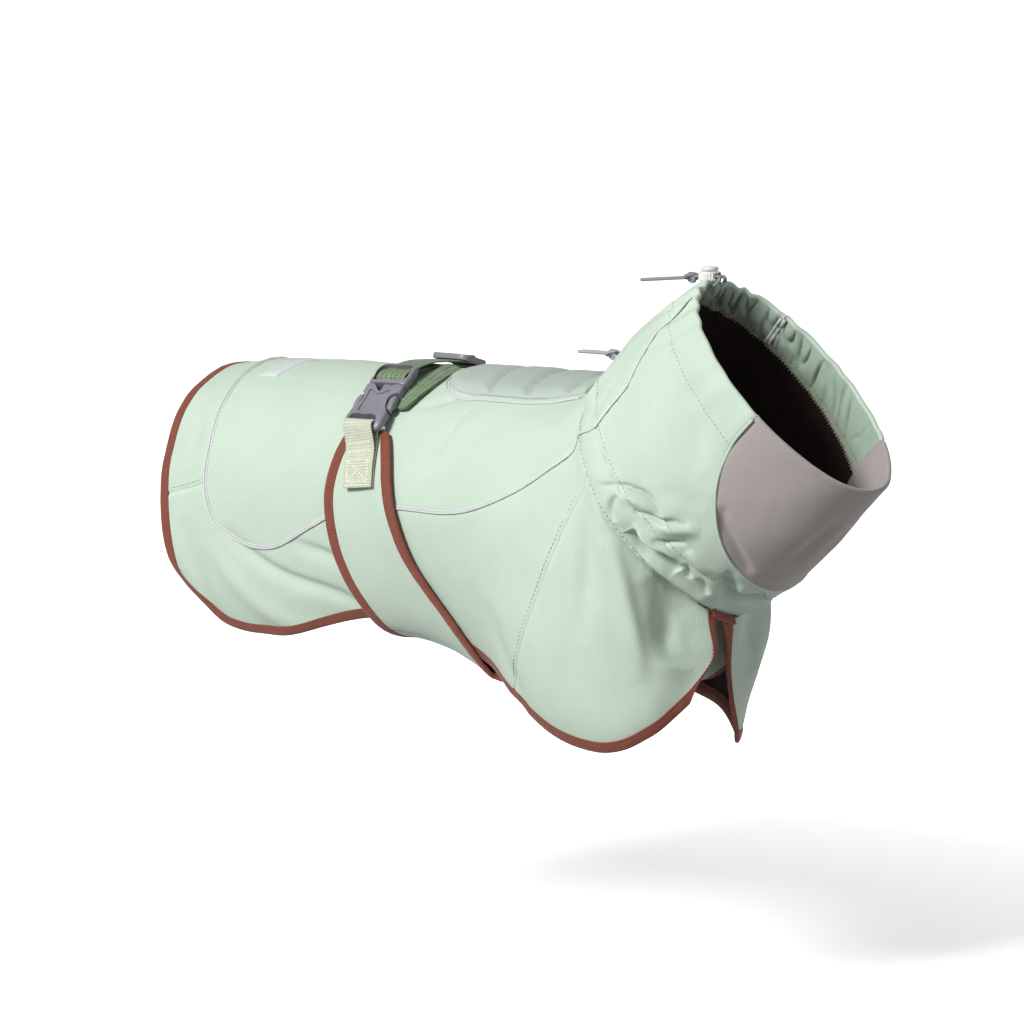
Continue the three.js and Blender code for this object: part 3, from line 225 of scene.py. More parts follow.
def ring_point(ring: Array, angle: Array) -> Array:
    """Point of a tilted ellipse, widened to a superellipse below.

    Formula: for the angle's cosine c and sine s and power p (2 where c > 0), the point is
    sign(c)|c|^(2/p) from middle to top, and y = -half width sign(s)|s|^(2/p).

    Args:
        ring: rows of (top x, top z, bottom x, bottom z, half width, power).
        angle: degrees from the nape, positive on the right side.
    """
    turn = np.radians(angle)
    power = 2 / np.where(np.cos(turn) > 0, 2.0, ring[..., 5])
    up, out = rounded(np.cos(turn), power), rounded(np.sin(turn), power)
    x, z = (
        (ring[..., k] + ring[..., k + 2]) / 2 + (ring[..., k] - ring[..., k + 2]) / 2 * up
        for k in (0, 1)
    )
    return np.stack([x, -ring[..., 4] * out, z], -1)


def neck_point(angle: Array) -> Array:
    """Point of the neck seam."""
    return ring_point(np.broadcast_to(RINGS[0], (*np.shape(angle), 6)), angle)


def neck_radial(angle: Array) -> Array:
    """Outward direction of the neck seam in its own plane."""
    along = neck_point(np.asarray(angle) + 1.0) - neck_point(np.asarray(angle) - 1.0)
    axis = np.array([RINGS[0, 1] - RINGS[0, 3], 0.0, RINGS[0, 2] - RINGS[0, 0]])
    return unit(np.cross(along, unit(axis)))


def arc(points: Array, axis: int = 0) -> Array:
    """Length run along one axis of a grid of points."""
    step = np.linalg.norm(np.diff(points, axis=axis), axis=-1)
    run = np.cumsum(step, axis=axis)
    return np.concatenate([np.zeros_like(run.take([0], axis=axis)), run], axis=axis)


def even_rows(points: Array, count: int) -> Array:
    """A line's points, evenly spaced."""
    run = arc(points)
    return spline_rows(points, np.interp(np.linspace(0, run[-1], count), run, np.arange(len(run))))


def edge_gaps(points: Array) -> tuple[Array, Array, Array, Array]:
    """Distances from a grid's first and last rows and first and last columns."""
    down, along = arc(points, 0), arc(points, 1)
    return down, down[-1:] - down, along, along[:, -1:] - along


def at_length(run: Array, length: Array) -> Array:
    """Shares of each row at which its running length reaches given lengths."""
    last = run.shape[1] - 1
    i = np.clip((run[:, None, :] <= length[..., None]).sum(-1) - 1, 0, last - 1)
    low, high = (np.take_along_axis(run, i + k, 1) for k in (0, 1))
    return np.clip((i + (length - low) / np.maximum(high - low, 1e-9)) / last, 0, 1)


# Distances in millimetres from a seam at which a grid's first rows lie.
SEAM_STEPS = np.array([0.0, 0.7, 1.6, 3.0])


def graded(length: Array, count: int) -> Array:
    """Distances along rows: count even steps, closer at both ends."""
    length = length[:, None]
    lead = SEAM_STEPS[None] * np.minimum(1.0, length / 14)
    share = np.linspace(0, 1, count + 1)[1:-1][None]
    middle = lerp(lead[:, -1:], length - lead[:, -1:], share)
    return np.concatenate([lead, middle, length - lead[:, ::-1]], axis=1)


def graded_span(start: float, stop: float, count: int, close: float) -> Array:
    """Places from start to stop, closer at both ends; close is 1 mm."""
    lead = SEAM_STEPS * close
    middle = np.linspace(start + lead[-1], stop - lead[-1], count + 1)[1:-1]
    return np.concatenate([start + lead, middle, stop - lead[::-1]])


def soft_noise(points: Array, size: float, seed: int, waves: int = 9) -> Array:
    """Seeded unevenness from -1 to 1: a mean of sines in random directions.

    Args:
        points: places in millimetres, of any number of columns.
        size: about how wide one swell is.
        seed: number of the pattern.
        waves: how many sines are summed.
    """
    rng = np.random.default_rng(seed)
    heading = unit(rng.normal(size=(waves, points.shape[-1])))
    heading *= (math.tau / size * rng.uniform(0.55, 1.35, waves))[:, None]
    return np.sin(points @ heading.T + rng.uniform(0, math.tau, waves)).mean(-1) * 1.8


def pucker(run: Array, gap: Array, height: float, wave: float, reach: float, seed: int) -> Array:
    """Gathers beside a seam.

    Formula: height, times soft noise of the run, times exp(-gap / reach) (1 - exp(-gap / 1.5)).
    """
    noise = soft_noise(np.stack([run, gap * 0.15], -1), wave, seed)
    return height * noise * np.exp(-gap / reach) * (1 - np.exp(-gap / 1.5))


def seam_dip(gap: Array, depth: float = 0.9, width: float = 1.1) -> Array:
    """Groove at a seam: -depth exp(-(gap / width)^2)."""
    return -depth * np.exp(-((gap / width) ** 2))


# ---- the jacket's form ----
class Form:
    """A surface of two parameters."""

    steps: tuple[float, float] = (0.01, 0.01)
    limits: tuple[float, float] = (0.0, 1.0)

    def point(self, a: Array, b: Array) -> Array:
        """Point of the surface."""
        raise NotImplementedError

    def normal(self, a: Array, b: Array) -> Array:
        """Outward normal: the cross product of two small differences."""
        da, db = self.steps
        a = np.clip(a, self.limits[0] + 2 * da, self.limits[1] - 2 * da)
        along = self.point(a + da, b) - self.point(a - da, b)
        across = self.point(a, b + db) - self.point(a, b - db)
        return unit(np.cross(across, along))


class ShellForm(Form):
    """Shell: a smooth surface through ribs from the spine to the belly."""

    steps = (0.01, 0.005)
    limits = (0.0, LAST_RIB)
    share_on_back = np.array([0.6, 0.707, 0.293])
    share_on_flap = np.array([0.5, 0.62, 0.42])

    def __init__(self) -> None:
        """Makes the left side's own tables."""
        self.left, self.left_neck = RIBS.copy(), NECK_ANGLES.copy()
        for rib, column, values in LEFT_CHANGES:
            self.left[rib, column:column + 3] = values
        for rib, angle in LEFT_NECK_ANGLES.items():
            self.left_neck[rib] = angle

    def neck_angle(self, u: Array, side: Array) -> Array:
        """Angle on the neck ring at which rib u starts."""
        index = np.arange(len(NECK_ANGLES))
        left, right = np.interp(u, index, self.left_neck), np.interp(u, index, NECK_ANGLES)
        return np.where(side < 0, left, right)

    def rib(self, u: Array, side: Array) -> Array:
        """Each rib's five points, y outwards; the upper one is a mix."""
        q = np.where(side[..., None] < 0, spline_rows(self.left, u), spline_rows(RIBS, u))
        zero = np.zeros_like(q[..., 0])
        on_neck = neck_point(self.neck_angle(u, side)) * (1, -1, 1)
        on_spine = np.stack([q[..., 0], zero, q[..., 1]], -1)
        top = np.where((u > NECK_RIB)[..., None], on_neck, on_spine)
        flap = np.clip((u - NECK_RIB) / 2, 0, 1)[..., None]
        upper = lerp(top, q[..., 2:5], lerp(self.share_on_back, self.share_on_flap, flap))
        belly = np.stack([q[..., 8], zero, q[..., 9]], -1)
        return np.stack([top, upper, q[..., 2:5], q[..., 5:8], belly], -2)

    def point(self, a: Array, b: Array) -> Array:
        """Catmull-Rom over v through the rib at u."""
        u, v = pair(a, b)
        side = np.where(v < 0, -1.0, 1.0)
        p = self.rib(u, side)
        mirror = np.array([1, -1, 1])
        on_flap = np.clip(u - NECK_RIB, 0, 1)[..., None]
        lead = lerp(p[..., 1, :] * mirror, 2 * p[..., 0, :] - p[..., 1, :], on_flap)
        tail = p[..., 3, :] * mirror
        rows = np.concatenate([lead[..., None, :], p, tail[..., None, :]], -2)
        at = np.clip(np.abs(v), 0, 4)
        i = np.minimum(at.astype(int), 3)
        near = (i[..., None, None] + k for k in range(4))
        picked = (np.take_along_axis(rows, k, -2)[..., 0, :] for k in near)
        out = catmull(*picked, (at - i)[..., None])
        out[..., 1] *= -side
        return out

    def normal(self, a: Array, b: Array) -> Array:
        """Outward normal, level on the spine and on the belly."""
        u, v = pair(a, b)
        side = np.where(v < 0, -1.0, 1.0)
        out = super().normal(u, np.clip(np.abs(v), 0.011, 3.98) * side)
        middle = ((np.abs(v) < 0.01) & (u < NECK_RIB)) | (np.abs(v) > 3.99)
        out = np.where(middle[..., None], unit(out * (1, 0, 1)), out)
        on_seam = (u >= NECK_RIB) & (np.abs(v) < 1e-6)
        return np.where(on_seam[..., None], neck_radial(side * self.neck_angle(u, side)), out)


class CollarForm(Form):
    """Collar: a smooth surface through tilted rings."""

    steps = (0.01, 0.5)
    limits = (0.0, RIM)

    def point(self, a: Array, b: Array) -> Array:
        """Ring at w, point at the angle."""
        w, angle = pair(a, b)
        return ring_point(spline_rows(RINGS, w), angle)

    def normal(self, a: Array, b: Array) -> Array:
        """Outward normal, in the seam's own plane on the neck seam."""
        w, angle = pair(a, b)
        return np.where((w < 1e-6)[..., None], neck_radial(angle), super().normal(w, angle))


@dataclass
class LiftedForm(Form):
    """Another form, moved out along its normals."""

    base: Form
    lift: float

    def point(self, a: Array, b: Array) -> Array:
        """Base point plus lift times its normal."""
        return self.base.point(a, b) + self.lift * self.base.normal(a, b)

    def normal(self, a: Array, b: Array) -> Array:
        """The base's own normal."""
        return self.base.normal(a, b)


@dataclass
class CutLines:
    """Lines on the shell from the inner seam to the hem."""

    shell: ShellForm

    def place(self, s: Array, t: Array) -> Pair:
        """(u, v) on line s at share t: u bows as t to a power."""
        s, t = pair(s, t)
        q = spline_rows(CUT_LINES, s)
        inner_u = np.clip(q[..., 0], 0, LAST_RIB)
        inner_v = np.where(s >= Line.NECK, 0, np.maximum(q[..., 1], 0))
        hem_u = np.where(s <= Line.REAR_CORNER - 1, 0, np.clip(q[..., 2], 0, LAST_RIB))
        on_hem = (s >= Line.REAR_CORNER) & (s <= Line.SLIT_FOOT)
        hem_v = np.where(on_hem, HEM, np.clip(q[..., 3], 0, HEM))
        return lerp(inner_u, hem_u, t ** q[..., 4]), lerp(inner_v, hem_v, t)

    def signed(self, s: Array, t: Array, side: Side) -> Pair:
        """The same with the side's sign on v."""
        u, v = self.place(s, t)
        return u, side.sign * np.maximum(v, NUDGE)

    def inside_edge(self, s: Array, side: Side, width: float) -> Array:
        """Share of each line at a given width from the hem, by halving."""
        edge = self.shell.point(*self.signed(s, np.ones_like(s), side))
        low, high = np.zeros_like(s), np.ones_like(s)
        for _ in range(20):
            middle = (low + high) / 2
            gap = np.linalg.norm(self.shell.point(*self.signed(s, middle, side)) - edge, axis=-1)
            low, high = np.where(gap > width, (middle, high), (low, middle))
        return low


# ---- meshes ----
@dataclass
class Sheet:
    """Grid of a piece's outer face, with flat places in millimetres."""

    points: Array
    out: Array
    flat: Array
    seam: Array | float = 0.0

    def corners(self) -> Array:
        """Triangles, turned to face along the normals."""
        rows, columns = self.points.shape[:2]
        n = np.arange(rows * columns).reshape(rows, columns)
        a, b, c, d = n[:-1, :-1], n[1:, :-1], n[1:, 1:], n[:-1, 1:]
        faces = np.stack([a, b, c, a, c, d], -1).reshape(-1, 3)
        facing = (self.crosses(faces) * self.out.reshape(-1, 3)[faces[:, 0]]).sum()
        return faces[:, ::-1] if facing < 0 else faces

    def crosses(self, faces: Array) -> Array:
        """Cross product of two sides of each triangle."""
        a, b, c = (self.points.reshape(-1, 3)[faces[:, k]] for k in range(3))
        return np.cross(b - a, c - a)

    def area(self) -> float:
        """Area in square millimetres."""
        return float(np.linalg.norm(self.crosses(self.corners()), axis=1).sum() / 2)


@dataclass
class MeshData:
    """Vertices in millimetres, triangles and their data."""

    vertices: Array
    faces: Array
    corner_uv: Array
    material: Array | None = None
    seam: Array | None = None

    def __post_init__(self) -> None:
        """Fills in the first material and no seam."""
        if self.material is None:
            self.material = np.zeros(len(self.faces), int)
            self.seam = np.zeros(len(self.vertices))

    @staticmethod
    def joined(parts: Sequence["MeshData"]) -> "MeshData":
        """Several meshes as one."""
        start = np.cumsum([0, *(len(p.vertices) for p in parts[:-1])])
        columns = [[p.vertices for p in parts], [p.faces + s for p, s in zip(parts, start)]]
        for key in ("corner_uv", "material", "seam"):
            columns.append([getattr(p, key) for p in parts])
        return MeshData(*map(np.concatenate, columns))


def welded(points: Array, faces: Array) -> tuple[Array, Array, Array, Array]:
    """Merges equal points, to 0.002 mm, and drops flat faces.

    Returns:
        Each kept point's first number, each point's kept number, the faces, and which of
        them were kept.
    """
    keys = np.round(points * 500).astype(np.int64)
    _, first, back = np.unique(keys, axis=0, return_index=True, return_inverse=True)
    back = back.reshape(-1)
    faces = back[faces]
    kept = (faces != np.roll(faces, 1, axis=1)).all(1)
    return first, back, faces[kept], kept


def border_edges(faces: Array) -> Array:
    """Edges of only one triangle, in its own direction."""
    edges = np.concatenate([faces[:, [0, 1]], faces[:, [1, 2]], faces[:, [2, 0]]])
    size = faces.max() + 1
    forward = edges[:, 0] * size + edges[:, 1]
    backward = edges[:, 1] * size + edges[:, 0]
    return edges[~np.isin(forward, backward)]


def cloth_mesh(sheets: Sequence[Sheet], thickness: float = CLOTH) -> MeshData:
    """Closed thin cloth under its outer face.

    Formula: inner point = outer point - thickness times the normal; strips close the free
    edges. Material 0 is the outer face and the edge, material 1 the inner face.

    Args:
        sheets: grids that share edges where their points are equal.
        thickness: distance between the two faces.
    """
    start = np.cumsum([0, *(s.points[..., 0].size for s in sheets[:-1])])
    points, out, flat = (
        np.concatenate([rows.reshape(-1, rows.shape[-1]) for rows in column])
        for column in zip(*((s.points, s.out, s.flat) for s in sheets))
    )
    seam = np.concatenate([np.broadcast_to(s.seam, s.points.shape[:2]).ravel() for s in sheets])
    raw = np.concatenate([s.corners() + b for s, b in zip(sheets, start)])
    first, _, faces, kept = welded(points, raw)
    outer, at, count = points[first], flat[first], len(first)
    a, b = border_edges(faces).T
    rim = np.concatenate([np.stack([b, a, a + count], 1), np.stack([b, a + count, b + count], 1)])
    uv, low = flat[raw[kept]], at + thickness
    rim_uv = [np.stack([at[b], at[a], low[a]], 1), np.stack([at[b], low[a], low[b]], 1)]
    return MeshData(
        np.concatenate([outer, outer - thickness * out[first]]),
        np.concatenate([faces, faces[:, ::-1] + count, rim]),
        np.concatenate([uv, uv[:, ::-1], *rim_uv]),
        np.repeat([0, 1, 0], [len(faces), len(faces), len(rim)]),
        np.tile(seam[first], 2),
    )


@dataclass
class Track:
    """A line with an outward and a sideways direction."""

    points: Array
    out: Array
    across: Array

    @staticmethod
    def along(points: Array, out: Array) -> "Track":
        """Track with out squared to the line: across = along x out."""
        across = unit(np.cross(unit(np.gradient(points, axis=0)), out))
        return Track(points, unit(np.cross(across, unit(np.gradient(points, axis=0)))), across)

    @property
    def fields(self) -> tuple[Array, Array, Array]:
        """The points and both directions."""
        return self.points, self.out, self.across

    def at(self, lengths: Array) -> "Track":
        """The line at given lengths."""
        run = arc(self.points)
        at = np.interp(lengths, run, np.arange(len(run)))
        points, out, across = (spline_rows(rows, at) for rows in self.fields)
        return Track(points, unit(out), unit(across))

    def resampled(self, step: float, margin: float = 0.0) -> "Track":
        """The line with points about one step apart."""
        end = arc(self.points)[-1]
        count = max(2, int(round((end - 2 * margin) / step)) + 1)
        return self.at(np.linspace(margin, end - margin, count))

    def moved(self, across: float, out: float) -> "Track":
        """The line beside this one."""
        return Track(self.points + self.across * across + self.out * out, self.out, self.across)


def skin(points: Array, out: Array, flat: Array) -> MeshData:
    """Welded skin over rows of closed rings, with a fan over each open end.

    Args:
        points: the rings, which end where they start.
        out: roughly outward directions.
        flat: flat places.
    """
    vertices, uv = points.reshape(-1, 3), flat.reshape(-1, 2)
    raw = Sheet(points, unit(out), flat).corners()
    first, back, faces, kept = welded(vertices, raw)
    corner_uv = uv[raw[kept]]
    rings = back.reshape(points.shape[:2])
    open_ends = [ring for ring in rings[[0, -1], :-1] if len(set(ring.tolist())) > 2]
    if open_ends and rings[0, 0] != rings[-1, 0]:
        caps = end_fans(open_ends, faces)
        faces = np.concatenate([faces, caps])
        corner_uv = np.concatenate([corner_uv, np.zeros((len(caps), 3, 2))])
    return MeshData(vertices[first], faces, corner_uv)


def end_fans(rings: Sequence[Array], faces: Array) -> Array:
    """Fans over open rings, turned as the faces beside them are."""
    border = {tuple(edge) for edge in border_edges(faces).tolist()}
    fans = []
    for ring in rings:
        fan = np.stack([np.full(len(ring) - 2, ring[0]), ring[1:-1], ring[2:]], 1)
        fans.append(fan[:, ::-1] if (ring[0], ring[1]) in border else fan)
    return np.concatenate(fans)


def swept(track: Track, profile: Array, uneven: float = 0.0, seed: int = 0) -> MeshData:
    """Strip or tube: a closed profile carried along a track.

    Formula: point(k, j) = track point k + x_j across_k + y_j out_k, with y swelling by an
    uneven share. A closed track makes a ring; an open one gets a fan over each end.

    Args:
        track: the line.
        profile: (across, out) corners in order, in millimetres.
        uneven: how much the profile swells along the line.
        seed: number of that pattern.
    """
    closed = np.concatenate([profile, profile[:1]])
    run = arc(track.points)
    scale = 1 + uneven * soft_noise(run[:, None], 11.0, seed, 7)
    across, rise = track.across[:, None], track.out[:, None]
    x = closed[None, :, 0, None] * across
    y = closed[None, :, 1, None] * scale[:, None, None] * rise
    spoke = closed - profile.mean(0)
    out = spoke[None, :, :1] * across + spoke[None, :, 1:] * rise
    flat = np.stack(np.broadcast_arrays(run[:, None], arc(closed)[None]), -1)
    return skin(track.points[:, None] + x + y, out, flat)


def round_profile(radius: float, sides: int, flatten: float = 1.0) -> Array:
    """Circle, or an ellipse flattened in height."""
    turn = np.arange(sides) * math.tau / sides
    return radius * np.stack([np.cos(turn), flatten * np.sin(turn)], 1)


def tape_profile(width: float, thickness: float, ribs: int = 0, depth: float = 0.0) -> Array:
    """Flat tape with rounded edges and fine ribs.

    Formula: a superellipse of power 6, its height less depth times the square of the sine
    of ribs half turns across the width.
    """
    turn = np.linspace(0, math.tau, 64 if ribs else 24, endpoint=False)
    x = width / 2 * rounded(np.cos(turn), 1 / 3)
    groove = depth * np.sin(np.pi * ribs * (x / width + 0.5)) ** 2
    return np.stack([x, (thickness / 2 - groove) * rounded(np.sin(turn), 1 / 3)], 1)


# Rings of a stitch as (place along it, radius) shares, and the corners of each ring.
STITCH_RINGS = np.array([(-0.5, 0.35), (-0.3, 0.95), (0.3, 0.95), (0.5, 0.35)])
STITCH_SIDES = 5


def stitches(
    track: Track, pitch: float = 3.2, length: float = 2.5, radius: float = 0.32,
) -> MeshData:
    """Row of stitches, one thread bead per pitch.

    Formula: five-sided spindles along the track, half out of the cloth in the middle and
    falling by the square of the distance towards both ends.

    Args:
        track: the row's line on the cloth.
        pitch: from one stitch to the next.
        length: of a stitch.
        radius: of the thread.
    """
    at = track.resampled(pitch, pitch / 2)
    heading = unit(np.cross(at.out, at.across))
    side = unit(np.cross(heading, at.out))
    turn = np.arange(STITCH_SIDES) * math.tau / STITCH_SIDES
    x, r = np.repeat(STITCH_RINGS, STITCH_SIDES, 0).T * [[length], [radius]]
    y = r * np.tile(np.cos(turn), len(STITCH_RINGS))
    z = r * np.tile(np.sin(turn), len(STITCH_RINGS)) + radius * (0.55 - 6 * (x / length) ** 2)
    axes = ((x, heading), (y, side), (z, at.out))
    points = at.points[:, None] + sum(size[:, None] * way[:, None] for size, way in axes)
    n = np.arange(len(x)).reshape(len(STITCH_RINGS), STITCH_SIDES)
    a, b, c, d = n[:-1], n[1:], np.roll(n[1:], -1, 1), np.roll(n[:-1], -1, 1)
    sides = np.stack([a, d, c, a, c, b], -1).reshape(-1, 3)
    fan = np.array([(0, k + 1, k) for k in range(1, STITCH_SIDES - 1)])
    one = outward(points[0], np.concatenate([sides, fan, fan[:, ::-1] + n[-1, 0]]))
    faces = (one[None] + len(x) * np.arange(len(points))[:, None, None]).reshape(-1, 3)
    uv = np.tile(np.stack([x, y], 1), (len(points), 1))[faces]
    return MeshData(points.reshape(-1, 3), faces, uv)


def outward(points: Array, faces: Array) -> Array:
    """A closed mesh's faces, reversed where its volume is negative."""
    a, b, c = (points[faces[:, k]] - points.mean(0) for k in range(3))
    return faces[:, ::-1] if (a * np.cross(b, c)).sum() < 0 else faces


def lofted(rings: Array) -> MeshData:
    """Closed solid through rows of rings, with a fan at each end."""
    closed = np.concatenate([rings, rings[:, :1]], 1)
    spokes = closed - rings.mean(1, keepdims=True)
    data = skin(closed, spokes, np.stack([arc(closed, 0), arc(closed, 1)], -1))
    turned = outward(data.vertices, data.faces)
    if turned is not data.faces:
        data.faces, data.corner_uv = turned, data.corner_uv[:, ::-1]
    return data


def turned_solid(profile: Array, sides: int, flutes: int = 0, depth: float = 0.0) -> MeshData:
    """Turned solid round +Z with flutes.

    Formula: for rows (r, z, share), radius r less share times depth times the square of the
    cosine of half the flutes' angle.
    """
    turn = np.linspace(0, math.tau, sides, endpoint=False)
    groove = depth * np.cos(flutes * turn / 2) ** 2 if flutes else np.zeros(sides)
    r = profile[:, :1] - profile[:, 2:3] * groove[None]
    z = np.broadcast_to(profile[:, 1:2], r.shape)
    return lofted(np.stack([r * np.cos(turn), r * np.sin(turn), z], -1))


def prism(outline: Array, low: float, high: float) -> MeshData:
    """Straight solid over an (x, y) outline."""
    rows = [np.concatenate([outline, np.full((len(outline), 1), z)], 1) for z in (low, high)]
    return lofted(np.stack(rows))


def placed(data: MeshData, matrix: Array) -> MeshData:
    """The mesh moved by a 4 x 4 matrix."""
    points = data.vertices @ matrix[:3, :3].T + matrix[:3, 3]
    return MeshData(points, data.faces, data.corner_uv, data.material, data.seam)


# ---- folds ----
FOLD_SAMPLES = 120


@dataclass(frozen=True)
class Fold:
    """One listed fold.

    Formula: the cloth rises by height exp(-|d / width|^power) at distance d from the path,
    fading at both ends; the width is times 1 + lean on one flank and 1 - lean on the other.
    """

    path: tuple[tuple[float, float], ...]
    height: float
    width: float
    lean: float = 0.0
    power: float = 2.0
    fade: float = 0.7

    def mirrored(self, share: float = 0.85) -> "Fold":
        """The same fold on the left, a little lower."""
        path = tuple((a, -b) for a, b in self.path)
        return Fold(path, self.height * share, self.width * 1.08, -self.lean, self.power)


class Ground:
    """A form with the height of its cloth: folds and soft swells."""

    def __init__(self, form: Form, folds: Sequence[Fold], swell: float, size: float, seed: int):
        """Samples each fold's line on the form.

        Args:
            form: the surface.
            folds: the listed folds.
            swell: height of the swells.
            size: width of one swell.
            seed: number of their pattern.
        """
        self.form, self.swell, self.size, self.seed = form, swell, size, seed
        self.folds = []
        for fold in folds:
            at = np.linspace(0, len(fold.path) - 1, FOLD_SAMPLES)
            line = form.point(*spline_rows(np.array(fold.path), at).T)
            self.folds.append((fold, line, unit(np.gradient(line, axis=0))))

    def height(self, a: Array, b: Array, base: Array, out: Array) -> Array:
        """Height of the cloth at places whose points and normals are given."""
        flat, normal = base.reshape(-1, 3), out.reshape(-1, 3)
        height = self.swell * soft_noise(flat, self.size, self.seed)
        height += 0.35 * self.swell * soft_noise(flat, self.size / 2.7, self.seed + 1)
        for fold, line, tangent in self.folds:
            reach = 3.2 * fold.width * (1 + abs(fold.lean))
            low, high = line.min(0) - reach, line.max(0) + reach
            near = np.flatnonzero(((flat > low) & (flat < high)).all(1))
            if not near.size:
                continue
            gap = flat[near, None] - line[None]
            square = (gap**2).sum(-1)
            k = square.argmin(1)
            apart = np.take_along_axis(gap, k[:, None, None], 1)[:, 0]
            flank = np.sign((apart * np.cross(tangent[k], normal[near])).sum(-1))
            width = fold.width * (1 + fold.lean * flank)
            fading = np.clip(np.sin(np.pi * k / (FOLD_SAMPLES - 1)), 0, 1) ** fold.fade
            rise = np.exp(-(np.sqrt(square.min(1)) / width) ** fold.power)
            height[near] += fold.height * fading * rise
        return height.reshape(base.shape[:-1])

    def raised(self, a: Array, b: Array, lift: float = 0.0) -> Pair:
        """Points lifted off the cloth, and the form's normals."""
        base, out = self.form.point(a, b), self.form.normal(a, b)
        return base + out * (lift + self.height(a, b, base, out))[..., None], out

    def track(self, a: Array, b: Array, lift: float = 0.0) -> Track:
        """Line over the cloth; across = along x outward."""
        return Track.along(*self.raised(a, b, lift))

    def edge(self, inner: Pair, outer: Pair) -> Track:
        """Line through inner places; across points to the outer ones."""
        points, out = self.raised(*inner)
        across = self.form.point(*outer) - self.form.point(*inner)
        return Track(points, out, unit(across - out * (across * out).sum(-1, keepdims=True)))

    def sheet(
        self, a: Array, b: Array, seams: Sequence[object], seed: int, gather: float = 0.3,
    ) -> Sheet:
        """A grid of cloth, dipped at its seams.

        Args:
            a: first parameter.
            b: second parameter.
            seams: how much of a seam runs along the first row, last row, first column and
                last column.
            seed: number of the pattern of puckers.
            gather: height of the puckers.
        """
        base, out = self.form.point(a, b), self.form.normal(a, b)
        height = self.height(a, b, base, out)
        down, _, along, _ = gaps = edge_gaps(base)
        runs = (along, along, down, down)
        seam = np.zeros(base.shape[:2])
        for k, (gap, run, share) in enumerate(zip(gaps, runs, seams)):
            dip = seam_dip(gap) + pucker(run, gap, gather, 9.0, 6.0, seed + k)
            height = height + share * dip
            seam = np.maximum(seam, share * np.exp(-gap / 2.2))
        middle = along[:, along.shape[1] // 2][:, None]
        flat = np.stack([along - middle, down], -1)
        return Sheet(base + out * height[..., None], out, flat, seam)


class CollarGround(Ground):
    """The collar's folds with the gathers of its cord channels."""

    channel = 2.55
    tunnel_low, tunnel_high = 0.12, 1.0

    def height(self, a: Array, b: Array, base: Array, out: Array) -> Array:
        """Height of the cloth at ring a and angle b.

        Formula: the folds, plus in the rim's channel 1.1 mm sin(0.75 pi share) with 26
        gathers, deepest at the nape, plus a softer swelling between the tunnel's rows.
        """
        w, angle = pair(a, b)
        share = np.clip((w - self.channel) / (RIM - self.channel), 0, 1)
        turn = np.radians(angle)
        drift = soft_noise(np.stack([np.cos(turn), np.sin(turn)], -1) * 100, 60.0, 5)
        drawn = 0.35 + 1.15 * np.exp(-((angle / 58) ** 2))
        wave = drawn * np.sin(26 * turn + 3.0 * drift)
        near = 1 / (1 + np.exp(-(w - self.channel + 0.06) / 0.05))
        height = super().height(a, b, base, out)
        height = height + near * (1.1 * np.sin(np.pi * share * 0.75) + wave)
        height += 0.9 * np.exp(-np.clip(self.channel - w, 0, None) / 0.22) * (1 - near) * wave
        tunnel = np.clip((w - self.tunnel_low) / (self.tunnel_high - self.tunnel_low), 0, 1)
        puff = np.sin(np.pi * tunnel) * np.where((w > 0) & (w < self.tunnel_high), 1, 0)
        height += puff * (0.9 + 0.55 * np.sin(19 * turn + 4.0 * drift))
        band = np.clip(w / self.tunnel_low, 0, 1)
        height += np.sin(np.pi * band) * (0.55 + 0.3 * np.sin(70 * turn + 5 * drift))
        return height


# ---- finishes ----
def linear(colour: str) -> tuple[float, float, float, float]:
    """Linear RGBA of an sRGB colour such as "#C9DDD0"."""
    parts = [int(colour[k:k + 2], 16) / 255 for k in (1, 3, 5)]
    return (*(c / 12.92 if c <= 0.04045 else ((c + 0.055) / 1.055) ** 2.4 for c in parts), 1.0)


def add_node(
    tree: Tree, kind: str, inputs: dict[int | str, object],
    settings: dict[str, object] | None = None,
) -> bpy.types.Node:
    """Adds one node with its settings and links.

    Args:
        tree: the material's or world's node tree.
        kind: the node's type without ShaderNode.
        inputs: a value or a source socket for each socket.
        settings: the node's own properties.
    """
    node = tree.nodes.new(f"ShaderNode{kind}")
    for key, value in (settings or {}).items():
        setattr(node, key, value)
    for key, value in inputs.items():
        if isinstance(value, bpy.types.NodeSocket):
            tree.links.new(value, node.inputs[key])
        else:
            node.inputs[key].default_value = value
    return node


# Length over which a wave texture of scale 1 repeats.
BAND = 0.31416


